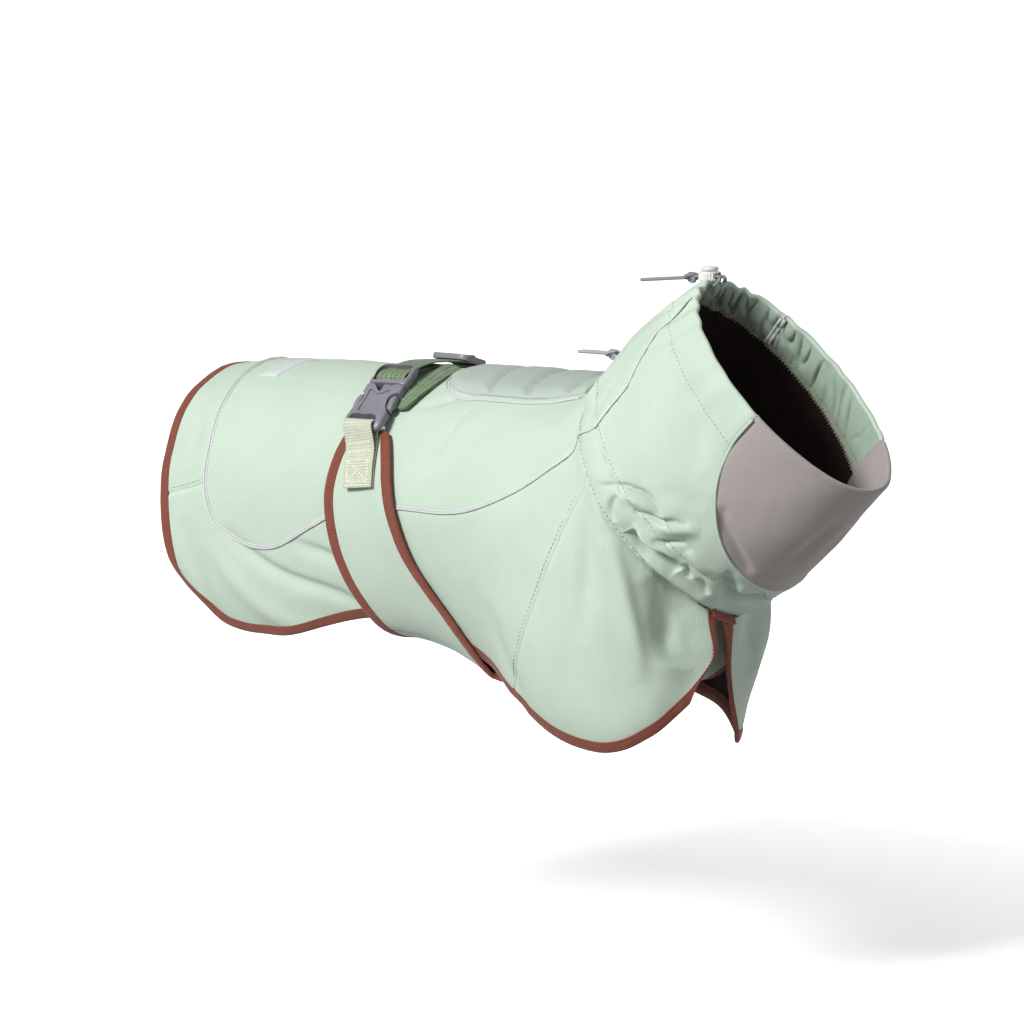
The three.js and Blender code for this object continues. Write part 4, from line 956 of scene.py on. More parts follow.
@dataclass
class Palette:
    """One material's shader, and the steps its pattern is mixed from."""

    tree: Tree
    shader: bpy.types.Node

    def node(
        self, kind: str, output: str, inputs: dict[str, object], settings: dict | None = None,
    ) -> Socket:
        """One output of a new node."""
        return add_node(self.tree, kind, inputs, settings).outputs[output]

    def flat(self, width: float, length: float) -> Socket:
        """The piece's flat place in cells of the given millimetres."""
        scale = (1 / (width * METRES), 1 / (length * METRES), 1.0)
        place = self.node("TexCoord", "UV", {})
        return self.node("Mapping", "Vector", {"Vector": place, "Scale": scale})

    def noise(self, width: float, length: float, detail: float = 2.0) -> Socket:
        """Noise in cells of the given millimetres."""
        return self.node("TexNoise", "Fac", {
            "Vector": self.flat(width, length), "Scale": 1.0, "Detail": detail, "Roughness": 0.55,
        })

    def mix(self, factor: Socket, a: object, b: object) -> Socket:
        """Colour between a and b."""
        return add_node(self.tree, "Mix", {0: factor, 6: a, 7: b}, {"data_type": "RGBA"}).outputs[2]

    def between(self, value: Socket, source: Range, target: Range = (0.0, 1.0)) -> Socket:
        """A value carried from one range to another."""
        return self.node("MapRange", "Result", {
            "Value": value, "From Min": source[0], "From Max": source[1],
            "To Min": target[0], "To Max": target[1],
        })

    def sum(self, a: Socket, b: object, operation: str = "ADD") -> Socket:
        """One step of arithmetic."""
        return add_node(self.tree, "Math", {0: a, 1: b}, {"operation": operation}).outputs[0]

    def feed(self, name: str, source: Socket) -> None:
        """Links a socket to the shader."""
        self.tree.links.new(source, self.shader.inputs[name])

    def dye(self, share: Socket, first: str, second: str) -> None:
        """Colours the surface between two."""
        self.feed("Base Color", self.mix(share, linear(first), linear(second)))

    def bump(self, height: Socket, depth: float, strength: float = 0.8) -> None:
        """Raises the surface by a height times a depth in millimetres."""
        self.feed("Normal", self.node("Bump", "Normal", {
            "Height": height, "Distance": depth * METRES, "Strength": strength,
        }))


@dataclass(frozen=True)
class Finish:
    """A finish's name, main and deeper colours, and shine; in ribbed, braided and pile finishes the
    deeper colour is painted shade in the low places.
    """

    name: str
    colour: str
    deep: str
    roughness: float
    ior: float = 1.5
    sheen: float = 0.0

    def material(self) -> bpy.types.Material:
        """The finish's material, made once."""
        made = bpy.data.materials.get(self.name)
        if made is None:
            made = bpy.data.materials.new(self.name)
            made.use_nodes = True
            made.node_tree.nodes.clear()
            shader = add_node(made.node_tree, "BsdfPrincipled", {
                "Roughness": self.roughness, "IOR": self.ior,
                "Sheen Weight": self.sheen, "Sheen Roughness": 0.5,
            })
            self.dress(Palette(made.node_tree, shader))
            add_node(made.node_tree, "OutputMaterial", {"Surface": shader.outputs["BSDF"]})
        return made

    def dress(self, on: Palette) -> None:
        """Adds the finish's own pattern."""
        raise NotImplementedError


@dataclass(frozen=True)
class WovenFinish(Finish):
    """Woven or knitted cloth: uneven threads and slow mottling."""

    thread: float = 0.9
    slub: float = 7.0
    depth: float = 0.09
    mottle: float = 0.35
    worn: str = "#E6EFE8"
    wear: float = 0.12

    def dress(self, on: Palette) -> None:
        """Two crossed noises make the threads; a broad one the tone."""
        threads = on.sum(on.noise(self.thread, self.slub), on.noise(self.slub, self.thread))
        tone = on.between(on.noise(55.0, 70.0, 3.0), (0.3, 0.7), (0.0, self.mottle))
        share = on.sum(tone, on.between(threads, (0.75, 1.25), (0.0, 0.28)))
        cloth = on.mix(share, linear(self.colour), linear(self.deep))
        seam = on.node("Attribute", "Fac", {}, {"attribute_name": "seam"})
        edge = on.between(seam, (0.0, 1.0), (0.0, self.wear))
        on.feed("Base Color", on.mix(edge, cloth, linear(self.worn)))
        shine = (self.roughness - 0.07, self.roughness + 0.07)
        on.feed("Roughness", on.between(threads, (0.7, 1.3), shine))
        on.bump(threads, self.depth, 0.6)


@dataclass(frozen=True)
class PileFinish(Finish):
    """Short fleece pile, darker in its hollows as painted shade."""

    tuft: float = 2.2
    depth: float = 0.9

    def dress(self, on: Palette) -> None:
        """Two sizes of noise make tufts with deep hollows; the hollows take the deeper colour as
        painted shade.
        """
        tufts = on.noise(self.tuft, self.tuft * 1.4, 4.0)
        height = on.sum(tufts, on.between(on.noise(18.0, 24.0), (0.3, 0.7), (0.0, 0.5)))
        # Painted shade: the lower the pile, the darker its colour.
        on.dye(on.between(height, (0.35, 1.0)), self.deep, self.colour)
        on.bump(height, self.depth)


@dataclass(frozen=True)
class RibbedFinish(Finish):
    """Tape or webbing, darker in its grooves as painted shade."""

    along: float = 1.6
    across: float = 2.1
    depth: float = 0.16
    stripe: float = 0.0

    def dress(self, on: Palette) -> None:
        """Two bands at right angles make the ribs; their grooves take the deeper colour as painted
        shade, and a noise fades the dye.
        """
        rib, warp = (
            on.node("TexWave", "Fac", {
                "Vector": on.flat(pitch / BAND, pitch / BAND), "Scale": 1.0,
                "Distortion": distortion, "Detail": 1.0, "Detail Scale": 2.0,
            }, {"bands_direction": direction})
            for direction, pitch, distortion in (("X", self.along, 0.5), ("Y", self.across, 0.4))
        )
        height = on.sum(rib, on.sum(warp, self.stripe + 0.45, "MULTIPLY"))
        faded = on.between(on.noise(9.0, 6.0, 4.0), (0.3, 0.7), (-0.12, 0.3))
        # Painted shade: the low places of the ribs take the deeper colour.
        share = on.sum(on.between(height, (0.1, 1.1), (0.75, 0.0)), faded)
        on.dye(share, self.colour, self.deep)
        on.bump(height, self.depth)


@dataclass(frozen=True)
class MouldedFinish(Finish):
    """Moulded plastic: spark grain and faint flow marks."""

    grain: float = 0.8
    depth: float = 0.05

    def dress(self, on: Palette) -> None:
        """A fine noise is the grain; a slow one shifts tone and shine."""
        place = on.node("TexCoord", "Object", {})
        grain, flow = (
            on.node("TexNoise", "Fac", {
                "Vector": place, "Scale": 1 / (size * METRES), "Detail": detail, "Distortion": bent,
            })
            for size, detail, bent in ((self.grain, 2.0, 0.0), (14, 5.0, 0.8))
        )
        on.dye(on.between(flow, (0.3, 0.7), (0.0, 0.6)), self.colour, self.deep)
        shine = (self.roughness - 0.07, self.roughness + 0.1)
        on.feed("Roughness", on.between(flow, (0.3, 0.7), shine))
        on.bump(grain, self.depth, 0.5)


@dataclass(frozen=True)
class BraidedFinish(Finish):
    """Round braid: strands that cross on the slant, darker between them as painted shade."""

    strand: float = 1.3
    depth: float = 0.22
    slant: float = 0.9

    def dress(self, on: Palette) -> None:
        """Two slanted bands meet in lozenges; the low places between them take the deeper colour as
        painted shade.
        """
        place = on.flat(self.strand / BAND, self.strand / BAND)
        slanted = (
            on.node("Mapping", "Vector", {"Vector": place, "Rotation": (0.0, 0.0, turn)})
            for turn in (self.slant, -self.slant)
        )
        height = on.sum(*(
            on.node("TexWave", "Fac", {"Vector": way, "Scale": 1.0, "Distortion": 0.3})
            for way in slanted
        ), "MAXIMUM")
        # Painted shade: the low places between strands take the deeper colour.
        on.dye(on.between(height, (0.4, 1.0)), self.deep, self.colour)
        on.bump(height, self.depth)


@dataclass(frozen=True)
class PaperFinish(Finish):
    """Studio floor: pale seamless paper that glows as painted light."""

    def dress(self, on: Palette) -> None:
        """A slow tone, and a white glow of its own that grows further out: painted light."""
        place = on.node("TexCoord", "Object", {})
        on.dye(on.node("TexNoise", "Fac", {"Vector": place, "Scale": 3.0}), self.colour, self.deep)
        # Painted light: the paper glows white, from 0.3 near the jacket to 1 further out.
        far = on.node("VectorMath", "Value", {0: place}, {"operation": "LENGTH"})
        on.feed("Emission Strength", on.between(far, (0.4, 1.3), (0.3, 1.0)))
        on.shader.inputs["Emission Color"].default_value = WHITE


# Softshell: tight polyester weave bonded to fleece, matt with a faint bloom. The real
# threads are 0.25 mm; they are drawn at 0.9 mm so that they show.
SOFTSHELL = WovenFinish("softshell_mint", "#BBCBBB", "#ABBEAE", 0.72, 1.46, 0.1)
# The same softshell in the yoke's greyer dye lot.
YOKE_CLOTH = WovenFinish("softshell_grey_mint", "#A7B3A9", "#98A69B", 0.75, 1.46, 0.1)
# The facing inside the rim: the same cloth, dyed darker as painted shade inside the rim.
FACING_CLOTH_PAINTED_SHADE = WovenFinish("softshell_mint_facing_painted_shade", "#98AA99", "#86998A", 0.75, 1.46, 0.1)
# Polyester fleece, brushed: no shine; the near black in its hollows is painted shade.
FLEECE = PileFinish("brushed_fleece_brown", "#25130E", "#110806", 1.0, 1.4, 0.0)
# Cotton and elastane jersey, knitted: soft, warm grey, drawn with 1.1 mm wales.
JERSEY = WovenFinish(
    "stretch_jersey_grey", "#A39B97", "#918986", 0.88, 1.46, 0.2, 1.1, 3.2, 0.16, 0.3, "#B1A7A0",
)
# Twill bias binding, folded and pressed: fine ribs across, paler on the ridges and darker in the
# grooves as painted shade.
BINDING_TAPE = RibbedFinish("twill_binding_rust", "#82412D", "#612E1F", 0.8, 1.46, 0.15)
# Piping with glass beads in its coating: smooth, pale, brighter than the cloth.
REFLECTIVE = RibbedFinish("glass_bead_piping", "#C8CDCA", "#B6BCB8", 0.42, 1.5, 0.0, 2.6, 1.4, 0.03)
# Bonded film patch, heat pressed: satin and plain.
FILM = MouldedFinish("bonded_film_grey", "#C9D0CC", "#BBC3BF", 0.45, 1.48, 0.0, 1.2, 0.04)
# Nylon webbing, plain woven: heavy ribs that catch the light, their grooves dyed darker as painted
# shade; the moss webbing's stripes are its own pattern.
PALE_WEBBING = RibbedFinish(
    "nylon_webbing_pale", "#C2C7B3", "#A6AC94", 0.7, 1.53, 0.1, 1.9, 2.1, 0.2,
)
MOSS_WEBBING = RibbedFinish(
    "nylon_webbing_moss", "#788C6A", "#303D2C", 0.7, 1.53, 0.1, 1.9, 4.2, 0.3, 0.6,
)
# Acetal, injection moulded: even grey, satin where fingers rub it.
ACETAL = MouldedFinish("moulded_acetal_grey", "#817E88", "#6F6D76", 0.4, 1.48)
# Polypropylene, injection moulded: off white and slightly waxy.
POLYPROPYLENE = MouldedFinish("moulded_polypropylene_white", "#D9D8D6", "#CBCBCA", 0.38, 1.49)
# Polyester cord, braided round, its gaps darkened as painted shade.
CORD_BRAID = BraidedFinish("braided_cord_grey", "#97979A", "#56565A", 0.75, 1.5, 0.1)
PALE_BRAID = BraidedFinish("braided_cord_light", "#B4B5B8", "#74757A", 0.72, 1.5, 0.1)
# Polyester sewing threads, lustrous where they cross the cloth: ior, sheen, grain, depth.
THREAD = (1.55, 0.1, 0.4, 0.05)
MINT_THREAD = MouldedFinish("sewing_thread_mint", "#66886F", "#55755E", 0.5, *THREAD)
RUST_THREAD = MouldedFinish("sewing_thread_rust", "#6B3526", "#57281C", 0.55, *THREAD)
BRONZE_THREAD = MouldedFinish("sewing_thread_bronze", "#9C7C4A", "#80622F", 0.5, *THREAD)
CREAM_THREAD = MouldedFinish("overlock_thread_cream", "#D8CDAE", "#BBAE8B", 0.6, *THREAD)
PALE_THREAD = MouldedFinish("sewing_thread_pale", "#EEF0E4", "#D3D6C4", 0.5, *THREAD)
# Seamless studio paper, glowing more further out: painted light.
PAPER = PaperFinish("seamless_paper_white", "#F4F5F5", "#F1F2F2", 0.95)


def enter(name: str, data: bpy.types.ID) -> Thing:
    """A new object, put into the scene."""
    made = bpy.data.objects.new(name, data)
    bpy.context.scene.collection.objects.link(made)
    return made


def smooth(mesh: bpy.types.Mesh, crease: float) -> None:
    """Shades a mesh smooth, but for edges over the crease angle."""
    mesh.polygons.foreach_set("use_smooth", np.ones(len(mesh.polygons), bool))
    mesh.set_sharp_from_angle(angle=math.radians(crease))


class Workshop:
    """Makes pieces of meshes and hangs them on the frame."""

    def mesh(self, name: str, data: MeshData, crease: float) -> bpy.types.Mesh:
        """A Blender mesh in metres."""
        mesh = bpy.data.meshes.new(name)
        count = len(data.faces)
        mesh.vertices.add(len(data.vertices))
        mesh.vertices.foreach_set("co", (data.vertices * METRES).astype(np.float32).ravel())
        mesh.loops.add(3 * count)
        mesh.loops.foreach_set("vertex_index", data.faces.astype(np.int32).ravel())
        mesh.polygons.add(count)
        mesh.polygons.foreach_set("loop_start", np.arange(0, 3 * count, 3, dtype=np.int32))
        mesh.polygons.foreach_set("material_index", data.material.astype(np.int32))
        flat = (data.corner_uv * METRES).astype(np.float32).ravel()
        mesh.uv_layers.new(name="Flat").uv.foreach_set("vector", flat)
        seam = mesh.attributes.new("seam", "FLOAT", "POINT")
        seam.data.foreach_set("value", data.seam.astype(np.float32))
        mesh.update(calc_edges=True)
        mesh.validate()
        smooth(mesh, crease)
        return mesh

    def piece(
        self, name: str, data: MeshData, finishes: Sequence[Finish], slot: str, node: str = "",
        crease: float = 55.0,
    ) -> Thing:
        """Puts a mesh into the scene, dresses it and hangs it on the frame.

        Args:
            name: the piece's name.
            data: the mesh, in millimetres.
            finishes: one for each material number in the mesh.
            slot: the record's material slot; not used.
            node: the frame's node that it stands for, if any.
            crease: degrees above which an edge is sharp.
        """
        mesh = self.mesh(name, data, crease)
        for finish in finishes:
            mesh.materials.append(finish.material())
        made = enter(name, mesh)
        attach(made, BODY)
        if node:
            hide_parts(node)
        log.info("%s: %d triangles", name, len(data.faces))
        return made

    def carve(self, made: Thing, cutters: Sequence[MeshData], crease: float = 35.0) -> None:
        """Takes closed cutters out of a piece."""
        tools = []
        for k, cutter in enumerate(cutters):
            tools.append(enter(f"cutter_{k}", self.mesh(f"cutter_{k}", cutter, crease)))
            cut = made.modifiers.new(f"cut_{k}", "BOOLEAN")
            cut.operation, cut.solver, cut.object = "DIFFERENCE", "EXACT", tools[-1]
        graph = bpy.context.evaluated_depsgraph_get()
        solid = bpy.data.meshes.new_from_object(made.evaluated_get(graph))
        made.modifiers.clear()
        made.data = solid
        for tool in tools:
            bpy.data.objects.remove(tool)
        smooth(solid, crease)

    def cloth(
        self, name: str, node: str, sheets: Sequence[Sheet], held: str = "hung",
        finishes: Sequence[Finish] = (SOFTSHELL, FLEECE), slot: str = "softshell",
    ) -> None:
        """A piece of cloth, with its flat size logged.

        The size is that of its longest runs, and the area its own, as the cut's would be.
        """
        made = self.piece(name, cloth_mesh(sheets), finishes, slot, node)
        width, length, area = flat_size(sheets)
        log.info("%s: flat %.0f x %.0f mm, %.4f m2", name, width * 1000, length * 1000, area)


def flat_size(sheets: Sequence[Sheet]) -> tuple[float, float, float]:
    """A cut's width, length and area in metres."""
    width = METRES * sum(arc(s.points, 1)[:, -1].max() for s in sheets)
    length = METRES * max(arc(s.points, 0)[-1].max() for s in sheets)
    area = sum(s.area() for s in sheets) * METRES**2
    grow = math.sqrt(max(1.0, area / (width * length)))
    shrink = math.sqrt(min(1.0, area / (0.31 * width * length)))
    return width * grow * shrink, length * grow * shrink, area


# ---- the studio ----
@dataclass
class Studio:
    """Camera, lights, floor and surround; metres."""

    azimuth: float = 40.0
    elevation: float = 6.0
    distance: float = 3.0
    lens: float = 150.7
    aim: tuple[float, float] = (0.0504, -0.1008)
    floor_height: float = -0.42
    floor_half: float = 9.0
    ambient: float = 0.3
    backdrop: float = 1.05

    def axes(self) -> Array:
        """Rows: the camera's right, up and back."""
        a, e = math.radians(self.azimuth), math.radians(self.elevation)
        return np.array([
            (math.cos(a), math.sin(a), 0.0),
            (-math.sin(a) * math.sin(e), math.cos(a) * math.sin(e), math.cos(e)),
            (math.sin(a) * math.cos(e), -math.cos(a) * math.cos(e), math.sin(e)),
        ])

    def build(self) -> None:
        """Makes the camera, then the lights, the world and the floor."""
        right, up, back = self.axes()
        data = bpy.data.cameras.new("camera")
        data.lens, data.sensor_width = self.lens, 36.0
        data.clip_start, data.clip_end = 0.05, 60.0
        camera = enter("camera", data)
        target = self.aim[0] * right + self.aim[1] * up
        camera.matrix_world = self.facing(target + self.distance * back, back)
        bpy.context.scene.camera = camera
        bpy.context.scene.view_settings.view_transform = "Standard"
        self.light("key", (-1.6, 1.2, 1.85), 0.6, 82.0)
        self.light("fill", (1.9, 0.2, 1.8), 1.8, 5.0)
        self.light("top", (-0.3, 2.3, -0.4), 1.5, 3.0)
        self.light("back", (0.8, 1.0, -2.1), 1.4, 8.0)
        self.world()
        self.floor()

    def facing(self, place: Array, back: Array) -> Matrix:
        """Matrix at a place, whose -Z looks away from back."""
        z = unit(back)
        x = unit(np.cross((0.0, 0.0, 1.0), z))
        rows = np.eye(4)
        rows[:3] = np.stack([x, np.cross(z, x), z, place], 1)
        return Matrix(rows.tolist())

    def light(self, name: str, place: Sequence[float], size: float, power: float) -> None:
        """A square area light, placed along the camera's axes."""
        centre = np.array([0.08, 0.0, -0.08])
        at = centre + np.array(place) @ self.axes()
        data = bpy.data.lights.new(name, "AREA")
        data.size, data.energy = size, power
        enter(name, data).matrix_world = self.facing(at, at - centre)

    def world(self) -> None:
        """Soft light all round, and white where it is seen directly."""
        world = bpy.data.worlds.new("surround")
        world.use_nodes = True
        tree = world.node_tree
        tree.nodes.clear()
        glow, seen = (
            add_node(tree, "Background", {"Color": WHITE, "Strength": strength}).outputs[0]
            for strength in (self.ambient, self.backdrop)
        )
        direct = add_node(tree, "LightPath", {}).outputs["Is Camera Ray"]
        shine = add_node(tree, "MixShader", {0: direct, 1: glow, 2: seen})
        add_node(tree, "OutputWorld", {"Surface": shine.outputs[0]})
        bpy.context.scene.world = world

    def floor(self) -> None:
        """A square of paper below the jacket that throws no light back."""
        half, z = self.floor_half, self.floor_height
        mesh = bpy.data.meshes.new("floor")
        corners = [(-half, -half, z), (half, -half, z), (half, half, z), (-half, half, z)]
        mesh.from_pydata(corners, [], [(0, 1, 2, 3)])
        mesh.materials.append(PAPER.material())
        made = enter("floor", mesh)
        made.visible_diffuse = False


# ---- drawcords ----
@dataclass
class DrawCord:
    """A drawcord's two strands and their knot."""

    name: str
    finish: Finish
    route: Array
    knot: tuple[float, float, float]
    knot_radii: tuple[float, float, float] = (4.6, 5.2, 4.2)
    radius: float = 1.2
    sides: int = 14

    def build(self, shop: Workshop) -> None:
        """Makes the knot and both strands."""
        name = f"{self.name}_knot"
        knot = shop.piece(name, self.knot_mesh(), [self.finish], "cord", f"{self.name}_cord_knot")
        for side in Side:
            self.strand(shop, side, [knot] if side is Side.RIGHT else [])

    def strand(self, shop: Workshop, side: Side, on_it: list[Thing]) -> None:
        """A round tube along the route, with a blunt tip.

        Formula: a circle carried along a Catmull-Rom line through the route, drawn in over
        the last radius of its length.
        """
        rows = self.route * (1, -side.sign, 1)
        line = spline_rows(rows, np.linspace(0, len(rows) - 1, 8 * (len(rows) - 1) + 1))
        along = unit(np.gradient(line, axis=0))
        across = unit(np.array([0.0, 1.0, 0.0]) - along * along[:, 1:2])
        track = Track(line, unit(np.cross(across, along)), across).resampled(0.8)
        run = arc(track.points)
        left = np.clip((run[-1] - run) / self.radius, 0, 1)
        draw_in = np.sqrt(np.clip(1 - (1 - left) ** 2, 0.09, 1))[:, None]
        tapered = Track(track.points, track.out * draw_in, track.across * draw_in)
        data = swept(tapered, round_profile(self.radius, self.sides))
        made = shop.piece(
            f"{self.name}_strand_{side.letter}", data, [self.finish], "cord",
            f"{self.name}_cord_{side.letter}",
        )
        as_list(on_it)
        log.info("%s: %.0f mm long", made.name, run[-1])

    def knot_mesh(self) -> MeshData:
        """The cord tied in a trefoil.

        Formula: (1.6 sin 3t, sin t + 2 sin 2t, cos t - 2 cos 2t), stretched to its radii.
        """
        t = np.linspace(0, math.tau, 121)
        raw = np.stack([
            np.sin(3 * t) * 1.6, np.sin(t) + 2 * np.sin(2 * t), np.cos(t) - 2 * np.cos(2 * t),
        ], -1)
        radius = self.radius * 1.08
        spoke = raw * ((np.array(self.knot_radii) - radius) / np.abs(raw).max(0))
        line = np.array(self.knot) + spoke
        along = unit(np.gradient(line, axis=0))
        along[0] = along[-1] = unit(along[0] + along[-1])
        out = unit(spoke - along * (spoke * along).sum(-1, keepdims=True))
        return swept(Track(line, out, unit(np.cross(along, out))), round_profile(radius, 12))


COLLAR_ROUTE = np.array([
    (242, 3.7, 65.3), (244.2, 3.7, 66.5), (246.3, 3.5, 68.1), (247.5, 3.1, 70),
    (246.6, 2.4, 71.6), (244, 1.7, 72), (239, 1.55, 72), (234, 1.55, 72),
    (229, 1.55, 71.8), (224.5, 1.55, 71.2), (220, 1.6, 70.6), (214, 1.8, 70.1),
    (207, 2, 69.6), (200, 2.1, 69.1), (193, 2.1, 68.6), (186, 2.1, 68.1), (180, 2.1, 67.7),
], float)
NAPE_ROUTE = np.array([
    (167.8, 4.3, 9.7), (166.1, 3.9, 10.8), (164.2, 3.3, 12.1), (162.2, 2.6, 13.5),
    (160.2, 2, 14.8), (158, 1.6, 15.9), (155.5, 1.55, 16.6), (152.5, 1.55, 16.9),
    (149.5, 1.6, 17), (146, 1.8, 17.1), (142, 2, 17.2), (138, 2.1, 17.3),
    (134, 2.1, 17.3), (130, 2.1, 17.3), (126, 2.1, 17.2),
], float)


@dataclass
class CordLock:
    """Barrel lock on the collar's cord: a fluted body and its button."""

    at: tuple[float, float, float] = (237.0, 0.0, 68.4)
    radius: float = 7.6
    height: float = 6.8
    button_radius: float = 5.8
    button_height: float = 2.8
    gap: float = 0.36
    slot_half: float = 3.4
    slot_heights: tuple[float, float] = (1.7, 5.5)

    def build(self, shop: Workshop) -> None:
        """Turns the body and the button, and cuts the strands' slot."""
        place = np.eye(4)
        place[:3, 3] = self.at
        r, h = self.radius, self.height
        body = turned_solid(np.array([
            (0, 0, 0), (r - 1.6, 0, 0), (r - 0.6, 0.35, 0), (r - 0.1, 1.0, 0.5), (r, 1.8, 1),
            (r, h - 2.0, 1), (r - 0.15, h - 1.1, 0.5), (r - 0.7, h - 0.3, 0), (r - 1.5, h, 0),
            (0, h, 0),
        ]), 96, 24, 0.5)
        slot = prism(box_outline(-2 * r, 2 * r, self.slot_half), *self.slot_heights)
        plastic = ([POLYPROPYLENE], "lock_plastic")
        made = shop.piece("lock_body", placed(body, place), *plastic, "collar_lock_body", 35.0)
        shop.carve(made, [placed(slot, place)])
        b, low, top = self.button_radius, h + self.gap, h + self.gap + self.button_height
        button = turned_solid(np.array([
            (0, low, 0), (b - 0.5, low, 0), (b, low + 0.4, 0), (b, top - 1.1, 0),
            (b - 0.35, top - 0.45, 0), (b - 1.1, top - 0.1, 0), (b - 2.0, top - 0.3, 0),
            (0, top - 0.5, 0),
        ]), 64)
        shop.piece("lock_button", placed(button, place), *plastic, "collar_lock_button")


def box_outline(rear: float, front: float, half: float) -> Array:
    """Corners of a rectangle from rear to front and half to each side."""
    return np.array([(rear, -half), (front, -half), (front, half), (rear, half)])


# ---- the pattern: forms and folds shared by the pieces ----
BELT_EDGES = np.array([
    (1.26, 3.2, 3.7), (1.34, 3.1, 3.82), (1.6, 2.98, 3.96), (2, 2.9, 4.09), (2.4, 2.93, 4.25),
    (2.8, 3.09, 4.7), (3.12, 3.18, 5.05), (3.56, 3.24, 5.15), (4, 3.26, 5.2),
])
BELT_TIP, BELT_FOOT, BELT_MIDDLE = 0.42, 6.0, 8.0
BIB_ROWS = np.array([
    (130, -217, 126, 48, -209), (165, -221, 163, 41, -213), (197, -212, 196, 40, -206),
    (222, -196, 219, 42, -198), (243, -172, 236, 50, -174),
], float)
BIB_START, BIB_END = 0.08, 6.0
YOKE_EDGE = np.array([
    (3.98, 0), (4, 0.28), (4.1, 0.52), (4.37, 0.67), (4.9, 0.71), (5.5, 0.69), (5.95, 0.56),
    (6.4, 0.3), (6.6, 0),
])
COLLAR_SEAMS = np.array([
    (0, 54.5, -54.5), (1, 61, -60), (1.7, 56, -60), (2.4, 39, -55), (3, 30, -50),
])
# Folds of the collar as (ring, angle) lines: the crumpled tunnel under the chin first.
COLLAR_CRUMPLE: tuple[Fold, ...] = (
    Fold(
        ((0.5, 83), (1.03, 89.25), (1.21, 95), (1.31, 100), (1.34, 105.5), (1.3, 112)),
        -3.4, 1.6, power=1.6,
    ),
    Fold(((0.8, 90), (1.04, 97), (1.18, 103), (1.24, 109)), 4.0, 4.0, fade=1.2),
    Fold(
        ((0.98, 103), (1.15, 107.75), (1.24, 112.5), (1.38, 115.25), (1.5, 120)),
        -3.6, 1.7, power=1.6,
    ),
    Fold(((0.95, 93.75), (0.69, 94.5), (0.46, 98.25), (0.34, 103.5)), -3.4, 2.6),
    Fold(
        ((0.58, 109.5), (0.48, 114.25), (0.49, 119), (0.63, 122.5), (0.71, 127), (0.69, 133.5)),
        -10.0, 4.2, 0.1, 2.0, 0.4,
    ),
    Fold(((0.85, 107), (0.76, 113), (0.8, 118), (0.92, 124), (0.93, 131)), 4.4, 2.8, fade=1.2),
    Fold(((0.88, 117), (1.01, 120.25), (1.12, 121.5), (1.3, 125)), -4.4, 1.8, power=1.6),
    Fold(((1.1, 112), (1.26, 117), (1.42, 121), (1.55, 125)), 4.2, 4.0, fade=1.3),
    Fold(((0.95, 132), (0.86, 135.5), (0.72, 138.5)), -3.6, 1.9),
    Fold(((0.86, 140), (0.8, 144), (0.65, 148.6)), -3.4, 2.1),
    Fold(
        ((1.25, 144), (1.09, 151.75), (0.87, 158), (0.98, 166), (1.16, 172)),
        -10.0, 4.8, 0.1, 2.0, 0.45,
    ),
    Fold(((0.22, 106), (0.25, 120), (0.28, 135), (0.3, 150), (0.34, 168)), 3.2, 3.8, fade=1.1),
    Fold(((1.2, 128), (1.15, 134), (1.1, 141)), 2.4, 3.4),
)
COLLAR_FOLDS: tuple[Fold, ...] = (
    *COLLAR_CRUMPLE,
    *(fold.mirrored(0.75) for fold in COLLAR_CRUMPLE),
    Fold(((2.62, 78), (2.32, 93.5), (2.04, 104.5)), -1.2, 7.0),
    Fold(((1.35, 100), (1.62, 108), (1.8, 118)), -1.0, 5.5),
    Fold(((0.55, 60), (0.85, 59), (1.3, 50), (1.7, 44)), -1.3, 4.0),
    Fold(((0.4, 40), (0.9, 36), (1.5, 33)), 1.4, 6.5),
    Fold(((0.4, -36), (0.9, -40), (1.6, -38)), -1.4, 5.5),
    Fold(((2.5, -72), (2.2, -90), (1.9, -102)), -1.4, 7.0),
    Fold(((0.4, 8), (1.0, 5), (1.8, 2)), -1.6, 6.5),
    Fold(((0.5, -14), (1.2, -12), (2.0, -9)), 1.2, 6.0),
)
# Folds of the shell as (rib, share down the side) lines, right side; the left has its own.
SHELL_DRAPE: tuple[Fold, ...] = (
    Fold(
        ((8.76, 0.0), (8.94, 0.5), (9.08, 1.1), (9.16, 1.6), (9.18, 2.05)),
        -11.0, 19.0, -0.2, 2.2, 0.8,
    ),
    Fold(((8.2, 0.25), (8.34, 0.9), (8.44, 1.5), (8.62, 2.3)), 4.2, 6.4, 0.2),
    Fold(((7.72, 0.12), (7.68, 0.9), (7.6, 1.6), (7.5, 2.2)), -3.0, 6.5),
    Fold(((9.3, 0.6), (9.32, 1.3), (9.36, 1.9)), 1.6, 7.0),
    Fold(((1.2, 2.24), (1.85, 2.43), (2.73, 2.68), (3.3, 2.95)), -3.2, 5.0, 0.3),
    Fold(((2.3, 2.3), (2.9, 2.46), (3.5, 2.78)), -3.0, 4.6, 0.3),
    Fold(((0.9, 2.35), (1.5, 2.62), (2.3, 2.95), (3.0, 3.2)), 2.4, 8.0),
    Fold(((0.5, 2.25), (0.8, 2.75), (1.2, 3.2)), -2.6, 9.0),
    Fold(((4.75, 0.86), (4.63, 1.2), (4.48, 1.58)), -2.8, 2.3, 0.2, 1.8, 0.5),
    Fold(((3.95, 0.96), (4.15, 0.83), (4.4, 0.72), (4.8, 0.66)), -2.4, 4.2),
    Fold(((5.5, 2.4), (5.9, 2.7), (6.4, 2.9)), -2.4, 8.0),
    Fold(((6.9, 1.7), (7.0, 2.2), (7.0, 2.7)), 1.3, 10.0),
    Fold(((0.3, 0.9), (0.5, 1.3), (0.55, 1.8)), -2.0, 8.0),
)
